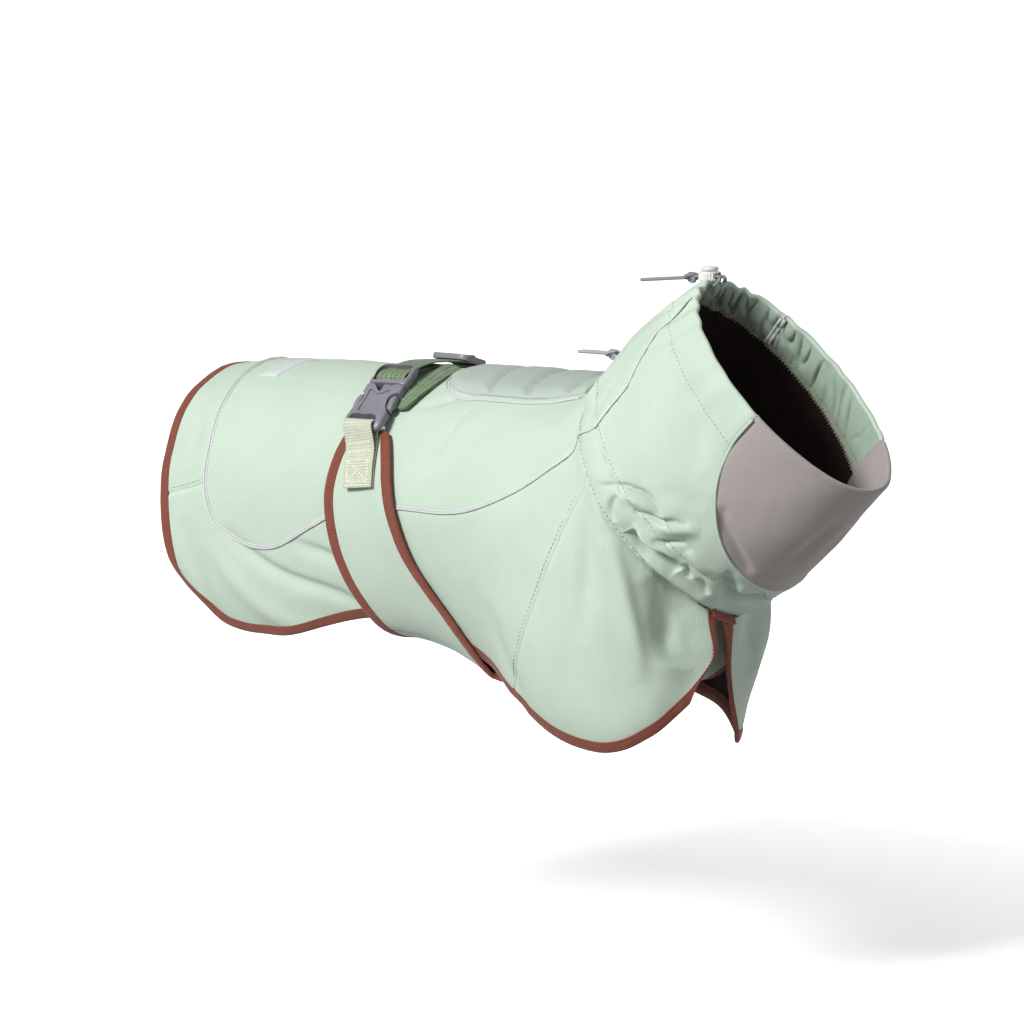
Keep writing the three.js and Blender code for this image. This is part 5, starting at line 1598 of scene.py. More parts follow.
SHELL_FOLDS: tuple[Fold, ...] = (
    *SHELL_DRAPE,
    *(fold.mirrored(0.8) for fold in SHELL_DRAPE),
    Fold(((5.2, -0.9), (5.5, -1.3), (5.6, -1.8)), -1.3, 7.0),
    Fold(((2.0, -0.7), (2.3, -1.2), (2.4, -1.7)), 1.0, 11.0),
)
# The bib is drawn in behind the flaps below the neck.
BIB_FOLDS: tuple[Fold, ...] = (Fold(((5.75, -1), (5.75, 0), (5.75, 1)), -7.0, 17.0, fade=0.0),)
THROAT_FOLDS: tuple[Fold, ...] = (
    Fold(
        ((1.98, 122), (1.84, 126.5), (1.74, 135), (1.62, 144.5), (1.5, 153)),
        -4.0, 3.4, 0.3, 2.0, 0.5,
    ),
    Fold(((2.7, 172), (2.4, 170), (2.0, 167), (1.7, 163)), -2.6, 6.0, 0.2, fade=1.2),
    Fold(((2.55, 190), (2.3, 186), (1.9, 180)), -1.2, 6.0),
)


def belt_place(r: Array, t: Array) -> Pair:
    """(u, v) on the belt at row r, t from its rear to its front edge."""
    q = spline_rows(BELT_EDGES, r)
    return lerp(q[..., 1], q[..., 2], t), q[..., 0]


class BibForm(Form):
    """Chest bib behind the flaps: rows up to the neck, t from -1 to 1."""

    steps = (0.02, 0.02)
    limits = (0.0, BIB_END)

    def __init__(self, belt: Form) -> None:
        """Completes the rows with the belt's edge and the neck seam."""
        edge, middle = (belt.point(*belt_place(row, 1.0)) for row in (BELT_FOOT, BELT_MIDDLE))
        depth = 2 * CLOTH + LAYER_GAP
        top, side = (neck_point(a) - depth * neck_radial(a) for a in np.array([180.0, 142.0]))
        first, last = ((m[0], m[2], e[0], -e[1], e[2]) for m, e in ((middle, edge), (top, side)))
        self.rows = np.vstack([first, BIB_ROWS, last])

    def point(self, a: Array, b: Array) -> Array:
        """Middle and edge of a row, mixed by the square of t."""
        r, t = pair(a, b)
        q = spline_rows(self.rows, r)
        x, z = (lerp(q[..., k], q[..., k + 2 + k], t**2) for k in (0, 1))
        return np.stack([x, -t * q[..., 3], z], -1)

    def normal(self, a: Array, b: Array) -> Array:
        """Outward, against the order of the parameters."""
        return -super().normal(a, b)

    def margin(self, r: Array, width: float) -> Array:
        """Share of the half width that a strip takes up."""
        return width / spline_rows(self.rows, r)[..., 3]


class Pattern:
    """The forms on which the pieces are cut."""

    throat_half = 66.0
    throat_widest = 2.75
    throat_bottom = 1.28
    throat_twist = -3.5

    def __init__(self) -> None:
        """Makes the forms with their folds."""
        shell, collar = ShellForm(), CollarForm()
        belt = LiftedForm(shell, BELT_LIFT)
        self.lines = CutLines(shell)
        self.shell = Ground(shell, SHELL_FOLDS, 0.7, 62.0, 11)
        self.collar = CollarGround(collar, COLLAR_FOLDS, 0.7, 38.0, 23)
        self.belt = Ground(belt, (), 0.6, 55.0, 12)
        self.bib = Ground(BibForm(belt), BIB_FOLDS, 1.0, 48.0, 31)
        self.throat = Ground(collar, THROAT_FOLDS, 0.5, 45.0, 24)

    def seam_angle(self, w: Array, side: Side) -> Array:
        """Angle of the collar's piped seam at ring w."""
        return np.interp(w, COLLAR_SEAMS[:, 0], COLLAR_SEAMS[:, 1 if side is Side.RIGHT else 2])

    def throat_edge(self, w: Array, side: Side) -> Array:
        """Angle of the throat's edge: half an ellipse on its foot."""
        w = np.asarray(w, float)
        share = (self.throat_widest - w) / (self.throat_widest - self.throat_bottom)
        half = self.throat_half * np.sqrt(np.clip(1 - np.clip(share, 0, 1) ** 2, 0, 1))
        middle = 180 + self.throat_twist * w
        return middle - half if side is Side.RIGHT else middle + half - 360

    def throat_stations(self, count: int) -> Array:
        """Rings of the throat, close together at its foot."""
        turn = np.linspace(0, np.pi / 2, count)
        return lerp(self.throat_bottom, self.throat_widest, 1 - np.cos(turn))

    def belt_margin(self, r: Array, width: float) -> Array:
        """Share of the belt's width that a strip takes up."""
        rear, front = (self.belt.form.point(*belt_place(r, t)) for t in (0.0, 1.0))
        return width / np.linalg.norm(front - rear, axis=-1)


# ---- shell ----
# How far ahead of its own place on the seam each row of the back meets the spine.
BACK_FAN = (0, 0.35, 0.65, 0.95, 1.2, 1.35, 1.35, 1.3, 1.2, 1.0, 0.75, 0.4, 0)


@dataclass
class Shell:
    """Back, rump, sides and front flaps, with their trim."""

    pattern: Pattern
    topstitch: float = 3.4

    def build(self, shop: Workshop) -> None:
        """Makes every panel and the trim on its seams."""
        shop.cloth("back_cloth", "back_panel", [self.back_half(side) for side in Side])
        rump = [self.skirt(Line.TAIL, Line.RUMP_SEAM, side, 60) for side in Side]
        shop.cloth("rump_cloth", "rump_panel", rump)
        for side in Side:
            x = side.letter
            flank = self.skirt(Line.RUMP_SEAM, Line.SHOULDER_SEAM, side, 190)
            shop.cloth(f"side_cloth_{x}", f"side_panel_{x}", [flank])
            flap = self.skirt(Line.SHOULDER_SEAM, Line.SLIT, side, 120)
            shop.cloth(f"flap_cloth_{x}", f"front_flap_{x}", [flap])
            self.piping(shop, side)
        self.stitching(shop)

    def back_half(self, side: Side) -> Sheet:
        """Half of the back, from the piped seam to the spine or neck."""
        s = graded_span(Line.TAIL, Line.NECK, 170, 0.03)
        seam_u, seam_v = self.pattern.lines.place(s, 0.0)
        ahead = np.interp(s, np.arange(len(BACK_FAN)), BACK_FAN)

        def places(t: Array) -> Pair:
            """Places at shares t of each row."""
            u, v = seam_u[:, None] + ahead[:, None] * t, seam_v[:, None] * (1 - t)
            return u, side.sign * np.maximum(v, NUDGE)

        u, v = places(self.even(places, 44))
        on_neck = np.clip((u[:, :1] - NECK_RIB) / 0.02, 0, 1)
        return self.pattern.shell.sheet(u, v, (0, 0, 1, on_neck), 40)

    def skirt(self, start: Line, stop: Line, side: Side, rows: int) -> Sheet:
        """Piece between two cut lines, from the inner seam into the binding."""
        s = graded_span(start, stop, rows, 0.028)
        edge = self.pattern.lines.inside_edge(s, side, UNDER_BINDING)

        def places(t: Array) -> Pair:
            """Places at shares t of each row."""
            return self.pattern.lines.signed(s[:, None], t * edge[:, None], side)

        u, v = places(self.even(places, 52))
        sewn = (float(start is not Line.TAIL), float(stop is not Line.SLIT), 1, 0)
        return self.pattern.shell.sheet(u, v, sewn, int(stop))

    def even(self, places: Callable[[Array], Pair], count: int) -> Array:
        """Shares at which each row's points are evenly spaced."""
        t = np.linspace(0, 1, 49)[None]
        run = arc(self.pattern.shell.form.point(*places(t)), 1)
        return at_length(run, graded(run[:, -1], count))

    def piping(self, shop: Workshop, side: Side) -> None:
        """Piping in the seam of the back panel."""
        s = np.linspace(0.03, Line.NECK - 0.05, 420)
        track = self.pattern.shell.track(*self.pattern.lines.signed(s, 0.0, side), 0.1)
        pipe(shop, f"piping_back_{side.letter}", f"back_piping_{side.letter}", track, side.sign, 3)

    def stitching(self, shop: Workshop) -> None:
        """Topstitching beside the shoulder and rump seams."""
        rows = []
        lines, t = self.pattern.lines, np.linspace(0.02, 0.97, 160)
        for side in Side:
            for s in (Line.SHOULDER_SEAM, Line.RUMP_SEAM):
                edge = lines.inside_edge(np.array([float(s)]), side, BINDING_WIDTH)
                track = self.pattern.shell.track(*lines.signed(s, t * edge, side))
                rows.append(stitches(track.moved(self.topstitch, -0.12)))
        shop.piece("stitching_shell", MeshData.joined(rows), [MINT_THREAD], "softshell")


def pipe(
    shop: Workshop, name: str, node: str, track: Track, sign: float, seed: int,
    step: float = 1.5, scale: float = 0.92,
) -> None:
    """Piping: a flat flange 2 mm wide beside a round bead 1.5 mm thick."""
    turn = np.radians(np.linspace(-60, 215, 12))
    bead = np.stack([1.0 + 0.78 * np.cos(turn), 0.55 + 0.78 * np.sin(turn)], 1)
    flange = np.array([(-0.2, 0.62), (-1.3, 0.6), (-1.75, 0.42), (-1.85, -0.1), (0.4, -0.25)])
    profile = np.concatenate([bead, flange]) * scale * (sign, 1)
    even = track.resampled(step) if step else track
    shop.piece(name, swept(even, profile, 0.08, seed), [REFLECTIVE], "reflective_piping", node)


# ---- hem ----
@dataclass
class Hem:
    """Binding round the shell's lower edge, and the slit's bridge."""

    pattern: Pattern
    size: tuple[float, float] = (18.0, 5.5)
    angles: tuple[float, float] = (158.0, 172.0)

    def build(self, shop: Workshop) -> None:
        """Makes the bindings, their stitching and the bridge."""
        rows = []
        for side in Side:
            name = f"binding_hem_{side.letter}"
            rows += bind(shop, name, f"hem_binding_{side.letter}", self.track(side), 61)
        shop.piece("stitching_hem", MeshData.joined(rows), [RUST_THREAD], "binding")
        self.bridge(shop)

    def track(self, side: Side) -> Track:
        """Line of the binding's inner edge."""
        s = np.linspace(0.02, Line.SLIT, 900)
        lines = self.pattern.lines
        start = lines.inside_edge(s, side, BINDING_WIDTH)
        return self.pattern.shell.edge(lines.signed(s, start, side), lines.signed(s, 1.0, side))

    def bridge(self, shop: Workshop) -> None:
        """Patch that holds the slit together at the neck.

        Formula: the neck seam between two angles, carried down, with pressed edges.
        """
        wide, deep = self.size
        down = unit(np.array([0.2, 0.0, -0.98]))
        i, j = grid(np.linspace(0, 1, 14), np.linspace(0, 1, 26))
        angle = lerp(*self.angles, j)
        out = unit(np.stack([0 * j + 1, -np.sin(np.radians(180 - angle)), 0 * j + 0.2], -1))
        edge = np.minimum(np.minimum(i, 1 - i) * deep, np.minimum(j, 1 - j) * wide)
        pressed = 0.5 * np.exp(-edge / 0.6) + 0.25 * np.exp(-((edge - 1.8) / 0.5) ** 2)
        lift = BINDING_PROUD + LAYER_GAP + CLOTH - pressed
        points = neck_point(angle) + down * (0.7 + deep * i)[..., None] + out * lift[..., None]
        data = cloth_mesh([Sheet(points, out, np.stack([wide * j, deep * i], -1))])
        shop.piece("bridge_tape", data, [BINDING_TAPE] * 2, "binding", "slit_bridge")


def bind(shop: Workshop, name: str, node: str, track: Track, seed: int) -> list[MeshData]:
    """Folded binding along a cut edge; gives back its rows of stitches.

    Formula: both faces of its section swell between the edges and the stitching.
    """
    wide, inset = BINDING_WIDTH, 1.7
    x = np.array([0, 0.35, 1.0, 1.7, 2.5, 4.2, 6.2, wide - 1.6, wide - 0.6, wide])
    y = np.array([-0.15, 0.5, 0.72, 0.45, 0.8, 0.92, 0.85, 0.72, 0.3, -0.8])
    low = np.stack([x[-2::-1], -CLOTH - y[-2::-1]], 1)
    even = track.resampled(1.7)
    data = swept(even, np.concatenate([np.stack([x, y], 1), low]), 0.1, seed)
    shop.piece(name, data, [BINDING_TAPE], "binding", node)
    under = Track(even.points, -even.out, -even.across)
    rows = (even.moved(inset, 0.42), under.moved(-inset, CLOTH + 0.42))
    return [stitches(row, 3.0, 2.2, 0.3) for row in rows]


# ---- collar ----
@dataclass
class Collar:
    """Tunnel, collar, throat, their piping, and the rim's facing."""

    pattern: Pattern
    curl: float = 1.95
    curl_rows: int = 9

    def build(self, shop: Workshop) -> None:
        """Makes each panel and the trim on it."""
        w = graded_span(0.0, 1.0, 34, 0.045)
        around = grid(w, np.linspace(-180, 180, 560))
        tunnel = self.pattern.collar.sheet(*around, (1, 1, 0, 0), 90, 0.4)
        shop.cloth("tunnel_cloth", "neck_tunnel", [tunnel], "gathered")
        foot = self.pattern.throat_stations(44)
        low = [1.0, 1.016, *np.linspace(1.036, 1.272, 17)]
        w = np.concatenate([low, foot, np.linspace(foot[-1], RIM, 14)[1:]])
        right, left = (self.pattern.seam_angle(w, side) for side in Side)
        back = self.panel(self.pattern.collar, w, left, right, 130, (1, 0, 1, 1), 70)
        shop.cloth("collar_back_cloth", "collar_back", [back], "gathered")
        for side, seam in zip(Side, (right, left)):
            x, edge = side.letter, self.pattern.throat_edge(w, side)
            panel = self.panel(self.pattern.collar, w, seam, edge, 170, (1, 0, 1, 1), 80)
            shop.cloth(f"collar_cloth_{x}", f"collar_side_{x}", [panel], "gathered")
            place = np.linspace(0.06, RIM - 0.03, 160)
            track = self.pattern.collar.track(place, self.pattern.seam_angle(place, side), 0.05)
            pipe(shop, f"piping_collar_{x}", f"collar_piping_{x}", track, side.sign, 4, 1.4)
        self.throat(shop)
        self.facing(shop)
        self.stitching(shop)

    def panel(
        self, ground: Ground, w: Array, start: Array, stop: Array, columns: int,
        seams: Sequence[object], seed: int, gather: float = 0.4,
    ) -> Sheet:
        """Panel between two lines of angles, rolled inwards over the cord at the rim.

        Formula: past the last row, rim + curl (sin f up - (1 - cos f) out), f up to pi.
        """
        share = graded_span(0.0, 1.0, columns, 0.006)
        angle = lerp(start[:, None], stop[:, None], share)
        sheet = ground.sheet(*pair(w[:, None], angle), seams, seed, gather)
        rim, out = sheet.points[-1], sheet.out[-1]
        up = rim - sheet.points[-2]
        up = unit(up - out * (up * out).sum(-1, keepdims=True))
        f = np.linspace(0, np.pi, self.curl_rows + 1)[1:, None, None]
        points = rim + self.curl * (np.sin(f) * up - (1 - np.cos(f)) * out)
        flat = np.broadcast_to(sheet.flat[-1], points.shape[:2] + (2,)).copy()
        flat[..., 1] += self.curl * f[..., 0]
        seam = np.broadcast_to(sheet.seam[-1], points.shape[:2])
        added = (points, np.cos(f) * out + np.sin(f) * up, flat, seam)
        own = (sheet.points, sheet.out, sheet.flat, sheet.seam)
        return Sheet(*map(np.concatenate, zip(own, added)))

    def throat(self, shop: Workshop) -> None:
        """The stretch panel under the chin and its rolled edge."""
        edge = self.pattern.throat_edge
        foot = self.pattern.throat_stations(34)
        w = np.concatenate([foot, np.linspace(foot[-1], RIM, 9)[1:]])
        sheet = self.panel(
            self.pattern.throat, w, edge(w, Side.RIGHT), edge(w, Side.LEFT) + 360, 76,
            (0, 0, 1, 1), 95, 0.15,
        )
        jersey = ([JERSEY, JERSEY], "throat_jersey")
        shop.cloth("throat_cloth", "throat_panel", [sheet], "stretched", *jersey)
        down = np.concatenate([[RIM - 0.03], self.pattern.throat_stations(70)[::-1]])
        up = down[::-1][1:]
        angle = np.concatenate([edge(down, Side.RIGHT), edge(up, Side.LEFT) + 360])
        track = self.pattern.collar.track(np.concatenate([down, up]), angle).resampled(1.4)
        turn = np.radians(np.linspace(-40, 220, 12))
        roll = np.stack([1.05 * np.cos(turn), 0.15 + 0.95 * np.sin(turn)], 1)
        data = swept(track, roll, 0.1, 6)
        shop.piece("throat_roll", data, [SOFTSHELL], "softshell", "throat_piping")

    def facing(self, shop: Workshop) -> None:
        """Strip inside the rim: softshell, and jersey at the throat."""
        low = RIM - FACING_DEPTH
        w = np.concatenate([graded_span(low, RIM - 0.06, 22, 0.016), [RIM - 0.02, RIM]])
        right, left = (float(self.pattern.throat_edge(RIM, side)) for side in Side)
        # The softshell facing's darker cloth is painted shade inside the rim.
        spans = (
            ("facing_cloth", "collar_facing", left, right, 420, FACING_CLOTH_PAINTED_SHADE, "softshell"),
            ("facing_jersey", "throat_facing", right, left + 360, 120, JERSEY, "throat_jersey"),
        )
        for name, node, start, stop, columns, finish, slot in spans:
            sheet = self.facing_sheet(*grid(w, np.linspace(start, stop, columns)))
            shop.cloth(name, node, [sheet], "gathered", [finish, FLEECE], slot)
        w = np.linspace(RIM, low + 0.08, 40)
        down = self.facing_track(w, self.pattern.seam_angle(w, Side.LEFT), 0.9)
        pipe(shop, "piping_facing", "", down, 1.0, 6, 0.0, 1.3)
        angle = np.linspace(left + 1, right - 1, 900)
        shop.piece("overlock_edge", self.overlock(angle), [CREAM_THREAD], "softshell")
        row = self.facing_track(np.full_like(angle, low + 0.11), angle, 0.1)
        data = stitches(row, 3.6, 2.9, 0.4)
        shop.piece("stitching_facing", data, [BRONZE_THREAD], "softshell")

    def facing_sheet(self, w: Array, angle: Array) -> Sheet:
        """The facing's visible side.

        Formula: the rim's height dying away downwards, and a puff of 3.0 mm sin(pi drop^0.8)
        left out on creases, the lines on which a slanted soft noise is nought.
        """
        ground, rim = self.pattern.collar, np.full_like(w, RIM)
        form = ground.form
        base, out = form.point(w, angle), form.normal(w, angle)
        at_rim = ground.height(rim, angle, form.point(rim, angle), form.normal(rim, angle))
        drop = np.clip((RIM - w) / FACING_DEPTH, 0, 1)
        slant = np.stack([angle + 11 * drop, 5 * drop], -1)
        crease = np.exp(-np.abs(soft_noise(slant, 9.0, 77) / 0.2) ** 1.5)
        loose = 0.15 + 3.0 / (1 + np.exp((np.abs(angle) - 112) / 5))
        puff = loose * np.sin(np.pi * drop**0.8) * (1 - crease)
        height = at_rim * (1 - 0.4 * drop) - 2 * self.curl - puff - 0.6 * drop
        flat = np.stack([arc(base, 1), arc(base, 0)], -1)
        return Sheet(base + out * height[..., None], -out, flat)

    def facing_track(self, w: Array, angle: Array, lift: float) -> Track:
        """Line on the facing's visible side."""
        sheet = self.facing_sheet(np.stack([w, w]), np.stack([angle, angle]))
        points, out = sheet.points[0], sheet.out[0]
        across = unit(np.cross(unit(np.gradient(points, axis=0)), out))
        return Track(points + lift * out, out, across)

    def overlock(self, angle: Array) -> MeshData:
        """Overlock on the facing's lower edge.

        Formula: its line moved across by 2.2 and -1.2 mm in turn, as a five-sided tube.
        """
        edge = np.full_like(angle, RIM - FACING_DEPTH)
        base = self.facing_track(edge, angle, 0.35).resampled(1.3)
        swing = np.where(np.arange(len(base.points)) % 2, -1.2, 2.2)
        line = base.points + base.across * swing[:, None]
        return swept(Track.along(line, base.out), round_profile(0.34, 5))

    def stitching(self, shop: Workshop) -> None:
        """Rows of topstitching on the tunnel and the rim's channel."""
        ring = np.linspace(-179.9, 179.9, 1500)
        collar, channel = self.pattern.collar, self.pattern.collar.channel
        right, left = (float(self.pattern.throat_edge(channel, side)) for side in Side)
        rim = np.linspace(left + 1.5, right - 1.5, 1100)
        rows = ((0.13, ring, 0.42), (1.07, ring, 0.3), (channel, rim, 0.34))
        made = [
            stitches(collar.track(np.full_like(angle, w), angle, -0.1), 3.4, 2.5, radius)
            for w, angle, radius in rows
        ]
        shop.piece("stitching_collar", MeshData.joined(made), [MINT_THREAD], "softshell")


# ---- yoke and patch ----
@dataclass
class Yoke:
    """Quilted pad over the shoulders, its trim and the leash slot."""

    pattern: Pattern
    start: float = 1.7
    stop: float = 6.75
    lift: float = 1.1
    rise: float = 3.3
    edge_margin: float = 0.06
    # Each quilting channel's place at its ends and on the spine, and its half width.
    channels: tuple[tuple[float, float, float], ...] = (
        (4.93, 4.83, 0.62), (5.43, 5.35, 0.62), (5.86, 5.82, 0.52),
    )

    def build(self, shop: Workshop) -> None:
        """Makes the pad, its piping, the quilting and the slot."""
        data = cloth_mesh([self.half(side) for side in Side], 2.6)
        pad = shop.piece("yoke_quilt", data, [YOKE_CLOTH] * 2, "yoke", "yoke_pad")
        pipe(shop, "piping_yoke", "yoke_piping", self.outline(0.0, 0.0), -1.0, 5)
        ground = self.pattern.shell
        rows = [
            stitches(ground.track(*self.channel(*line), self.lift + 0.75), 3.2, 2.4, 0.3)
            for line in self.channels
        ]
        rows.append(stitches(self.outline(0.075, 0.35), 3.2, 2.4, 0.28))
        shop.piece("stitching_yoke", MeshData.joined(rows), [MINT_THREAD], "yoke")
        self.slot(shop)

    def place(self, p: Array) -> Pair:
        """(u, v) on the outline, from its rear to the neck."""
        q = spline_rows(YOKE_EDGE, p)
        return q[..., 0], np.maximum(q[..., 1], 0)

    def channel(self, outer: float, inner: float, half: float) -> Pair:
        """A quilting channel, bowed as it crosses the spine."""
        v = np.linspace(-half, half, 90)
        return lerp(inner, outer, (np.abs(v) / 0.62) ** 2), np.where(np.abs(v) < NUDGE, NUDGE, v)

    def half(self, side: Side) -> Sheet:
        """Half of the pad.

        Formula: height = lift + rise (1 - exp(-(d / 3.4)^1.3)), where d is the distance to
        the nearest channel or edge.
        """
        u, v = self.place(np.linspace(self.start, self.stop, 120))
        edge = np.maximum(v - self.edge_margin, 0)
        u, v = grid(u, edge[:, None] * np.linspace(0, 1, 34) ** 0.8)
        v = side.sign * np.maximum(v, NUDGE)
        form = self.pattern.shell.form
        base, out = form.point(u, v), form.normal(u, v)
        down, up, along, beyond = edge_gaps(base)
        gap = np.minimum.reduce([beyond, np.minimum(down, 60), up + 1.5])
        for line in self.channels:
            seam = form.point(*self.channel(*line))
            apart = ((base.reshape(-1, 1, 3) - seam) ** 2).sum(-1).min(1)
            gap = np.minimum(gap, np.sqrt(apart).reshape(gap.shape))
        puff = self.rise * (1 - np.exp(-((gap / 3.4) ** 1.3)))
        wrinkle = 0.22 * soft_noise(base, 8.0, 51) * np.exp(-((gap - 3) / 4) ** 2)
        height = self.pattern.shell.height(u, v, base, out) + self.lift + 0.45 + puff + wrinkle
        flat = np.stack([along * side.sign, down], -1)
        return Sheet(base + out * height[..., None], out, flat, np.exp(-gap / 2.0))

    def outline(self, inset: float, lift: float) -> Track:
        """Line from the right front, behind, to the left front."""
        p = np.linspace(self.stop, 0, 160)
        u, v = self.place(p)
        v = np.maximum(v - inset, NUDGE)
        u = u + inset * np.clip(1 - p / 1.6, 0, 1) * 1.3
        places = np.concatenate([u, u[-2::-1]]), np.concatenate([v, -v[-2::-1]])
        return self.pattern.shell.track(*places, self.lift - 0.9 + lift)

    def slot(self, shop: Workshop) -> None:
        """Welt round the leash slot, with a dark fleece strip in its opening as painted shade of
        the hole.
        """
        t = np.linspace(0, 1, 60)
        track = self.pattern.shell.track(lerp(4.2, 4.09, t**1.5), lerp(0.5, 0.2, t), 0.25)
        lip = round_profile(0.75, 12, 0.7)
        parts = [swept(track.moved(x, 0.1), lip) for x in (-1.15, 1.15)]
        shop.piece("slot_welt", MeshData.joined(parts), [YOKE_CLOTH], "yoke")
        # Painted shade: a dark fleece strip stands for the shadowed hole of the slot.
        shop.piece("slot_opening_painted_shade", swept(track, tape_profile(1.9, 0.3)), [FLEECE], "softshell")


@dataclass
class RumpPatch:
    """Plain bonded patch on the right of the rump."""

    pattern: Pattern
    near: tuple[float, float, float] = (0.62, 1.1, 1.38)
    far: tuple[float, float, float] = (0.12, 1.16, 1.5)
    thickness: float = 0.9

    def build(self, shop: Workshop) -> None:
        """A four-sided plate with rounded edges and a pressed line.

        Formula: height = thickness (1 - exp(-d / 0.5)) less 0.3 mm in a line 2.4 mm in,
        where d is the distance to the nearest edge.
        """
        i, j = grid(*(0.5 - 0.5 * np.cos(np.linspace(0, np.pi, n)) for n in (40, 50)))
        v, start, stop = (lerp(far, near, j) for far, near in zip(self.far, self.near))
        u = lerp(start, stop, i)
        form = self.pattern.shell.form
        base, out = form.point(u, v), form.normal(u, v)
        gap = np.minimum.reduce(edge_gaps(base))
        line = 0.3 * np.exp(-(((gap - 2.4) / 0.45) ** 2))
        height = LAYER_GAP + self.thickness * (1 - np.exp(-gap / 0.5)) - line
        points = base + out * (self.pattern.shell.height(u, v, base, out) + height)[..., None]
        flat = np.stack([arc(base, 1), arc(base, 0)], -1)
        data = cloth_mesh([Sheet(points, out, flat)], 0.75)
        shop.piece("patch_film", data, [FILM, FILM], "patch", "rump_patch")


# ---- belt ----
@dataclass
class Belt:
    """Belly belt, belly piece, chest bib and their binding."""

    pattern: Pattern

    def build(self, shop: Workshop) -> None:
        """Makes the cloth and the binding."""
        for side in Side:
            arm = self.sheet(BELT_TIP, BELT_FOOT, side, 110)
            shop.cloth(f"belt_cloth_{side.letter}", f"belt_{side.letter}", [arm], "stretched")
        belly = [self.sheet(BELT_FOOT, BELT_MIDDLE, side, 40) for side in Side]
        shop.cloth("belly_cloth", "belly_panel", belly, "stretched")
        r = np.linspace(BIB_START, BIB_END, 110)
        margin = self.pattern.bib.form.margin(r, UNDER_BINDING)[:, None]
        t = lerp(-1 + margin, 1 - margin, np.linspace(0, 1, 60))
        bib = self.pattern.bib.sheet(*pair(r[:, None], t), (0.6, 0, 0, 0), 130)
        shop.cloth("bib_cloth", "chest_bib", [bib], "stretched")
        self.binding(shop)

    def sheet(self, start: float, stop: float, side: Side, rows: int) -> Sheet:
        """Part of the belt between two of its rows."""
        r = np.linspace(start, stop, rows)
        margin = self.pattern.belt_margin(r, UNDER_BINDING)[:, None]
        share = lerp(margin, 1 - margin, np.linspace(0, 1, 34))
        u, v = belt_place(*pair(r[:, None], share))
        sewn = 0.6 if stop == BELT_FOOT else 0
        return self.pattern.belt.sheet(u, side.sign * v, (0, sewn, 0, 0), 120)

    def edge(self, t: float, side: Side, stop: float, count: int) -> Track:
        """Inner edge of the binding: t is 0 behind and 1 in front."""
        rows = np.linspace(BELT_TIP, stop, count)
        margin = self.pattern.belt_margin(rows, BINDING_WIDTH)
        places = (belt_place(rows, share) for share in (abs(t - margin), t))
        return self.pattern.belt.edge(*((u, side.sign * v) for u, v in places))

    def binding(self, shop: Workshop) -> None:
        """A strip along the rear edge, and one on each side in front."""
        right, left = (self.edge(0, side, BELT_MIDDLE, 400) for side in Side)
        back = Track(*(rows[-2::-1] for rows in left.fields))
        tracks = {"rear": (right, back)}
        r = np.linspace(BIB_START + 0.35, BIB_END, 260)
        for side in Side:
            t = side.sign * (1 - self.pattern.bib.form.margin(r, BINDING_WIDTH))
            bib = self.pattern.bib.edge((r, t), (r, side.sign))
            tracks[f"front_{side.letter}"] = (self.edge(1, side, BELT_FOOT, 300), bib)
        rows = []
        for name, parts in tracks.items():
            whole = Track(*map(np.concatenate, zip(*(part.fields for part in parts))))
            rows += bind(shop, f"binding_belt_{name}", f"belt_binding_{name}", whole, 62)
        shop.piece("stitching_belt", MeshData.joined(rows), [RUST_THREAD], "binding")


# ---- buckle and straps ----
def surface_place(form: Form, u: float, v: float, lift: float) -> Array:
    """Frame on a form: x down the side, y to the head, z outwards."""
    u, v = np.array(u), np.array(v)
    out = form.normal(u, v)
    down = form.point(u, v + 0.05) - form.point(u, v - 0.05)
    down = unit(down - out * (down @ out))
    matrix = np.eye(4)
    matrix[:3] = np.stack([down, np.cross(out, down), out, form.point(u, v) + lift * out], 1)
    return matrix


def pillow(stations: Array, power: float = 4.5, sides: int = 64) -> MeshData:
    """Block with superellipse sections through rows of (x, half width, low, high).

    Formula: y = half width sign(c)|c|^(2/power), and z from low to high with
    sign(s)|s|^(2/power), for the cosine c and sine s of the section's angle.
    """
    turn = np.linspace(0, math.tau, sides, endpoint=False) + math.pi / sides
    y = stations[:, 1:2] * rounded(np.cos(turn), 2 / power)
    up = rounded(np.sin(turn), 2 / power)
    z = lerp(stations[:, 2:3], stations[:, 3:4], (up + 1) / 2)
    return lofted(np.stack([np.broadcast_to(stations[:, :1], y.shape), y, z], -1))


def cutter(corners: Sequence[tuple[float, float]], count: int, low: float, high: float) -> MeshData:
    """Straight solid over a Catmull-Rom outline."""
    points = np.array(corners, float)
    rows = np.concatenate([points[-1:], points, points[:2]])
    at = 1 + np.linspace(0, len(points), count, endpoint=False)
    return prism(spline_rows(rows, at), low, high)


def straight_bar(x: float, half: float, z: float, count: int) -> Track:
    """Line across a buckle's frame."""
    line = np.stack([np.full(count, x), np.linspace(-half, half, count), np.full(count, z)], 1)
    axes = (np.broadcast_to(way, line.shape) for way in ((0.0, 0.0, 1.0), (1.0, 0.0, 0.0)))
    return Track(line, *axes)


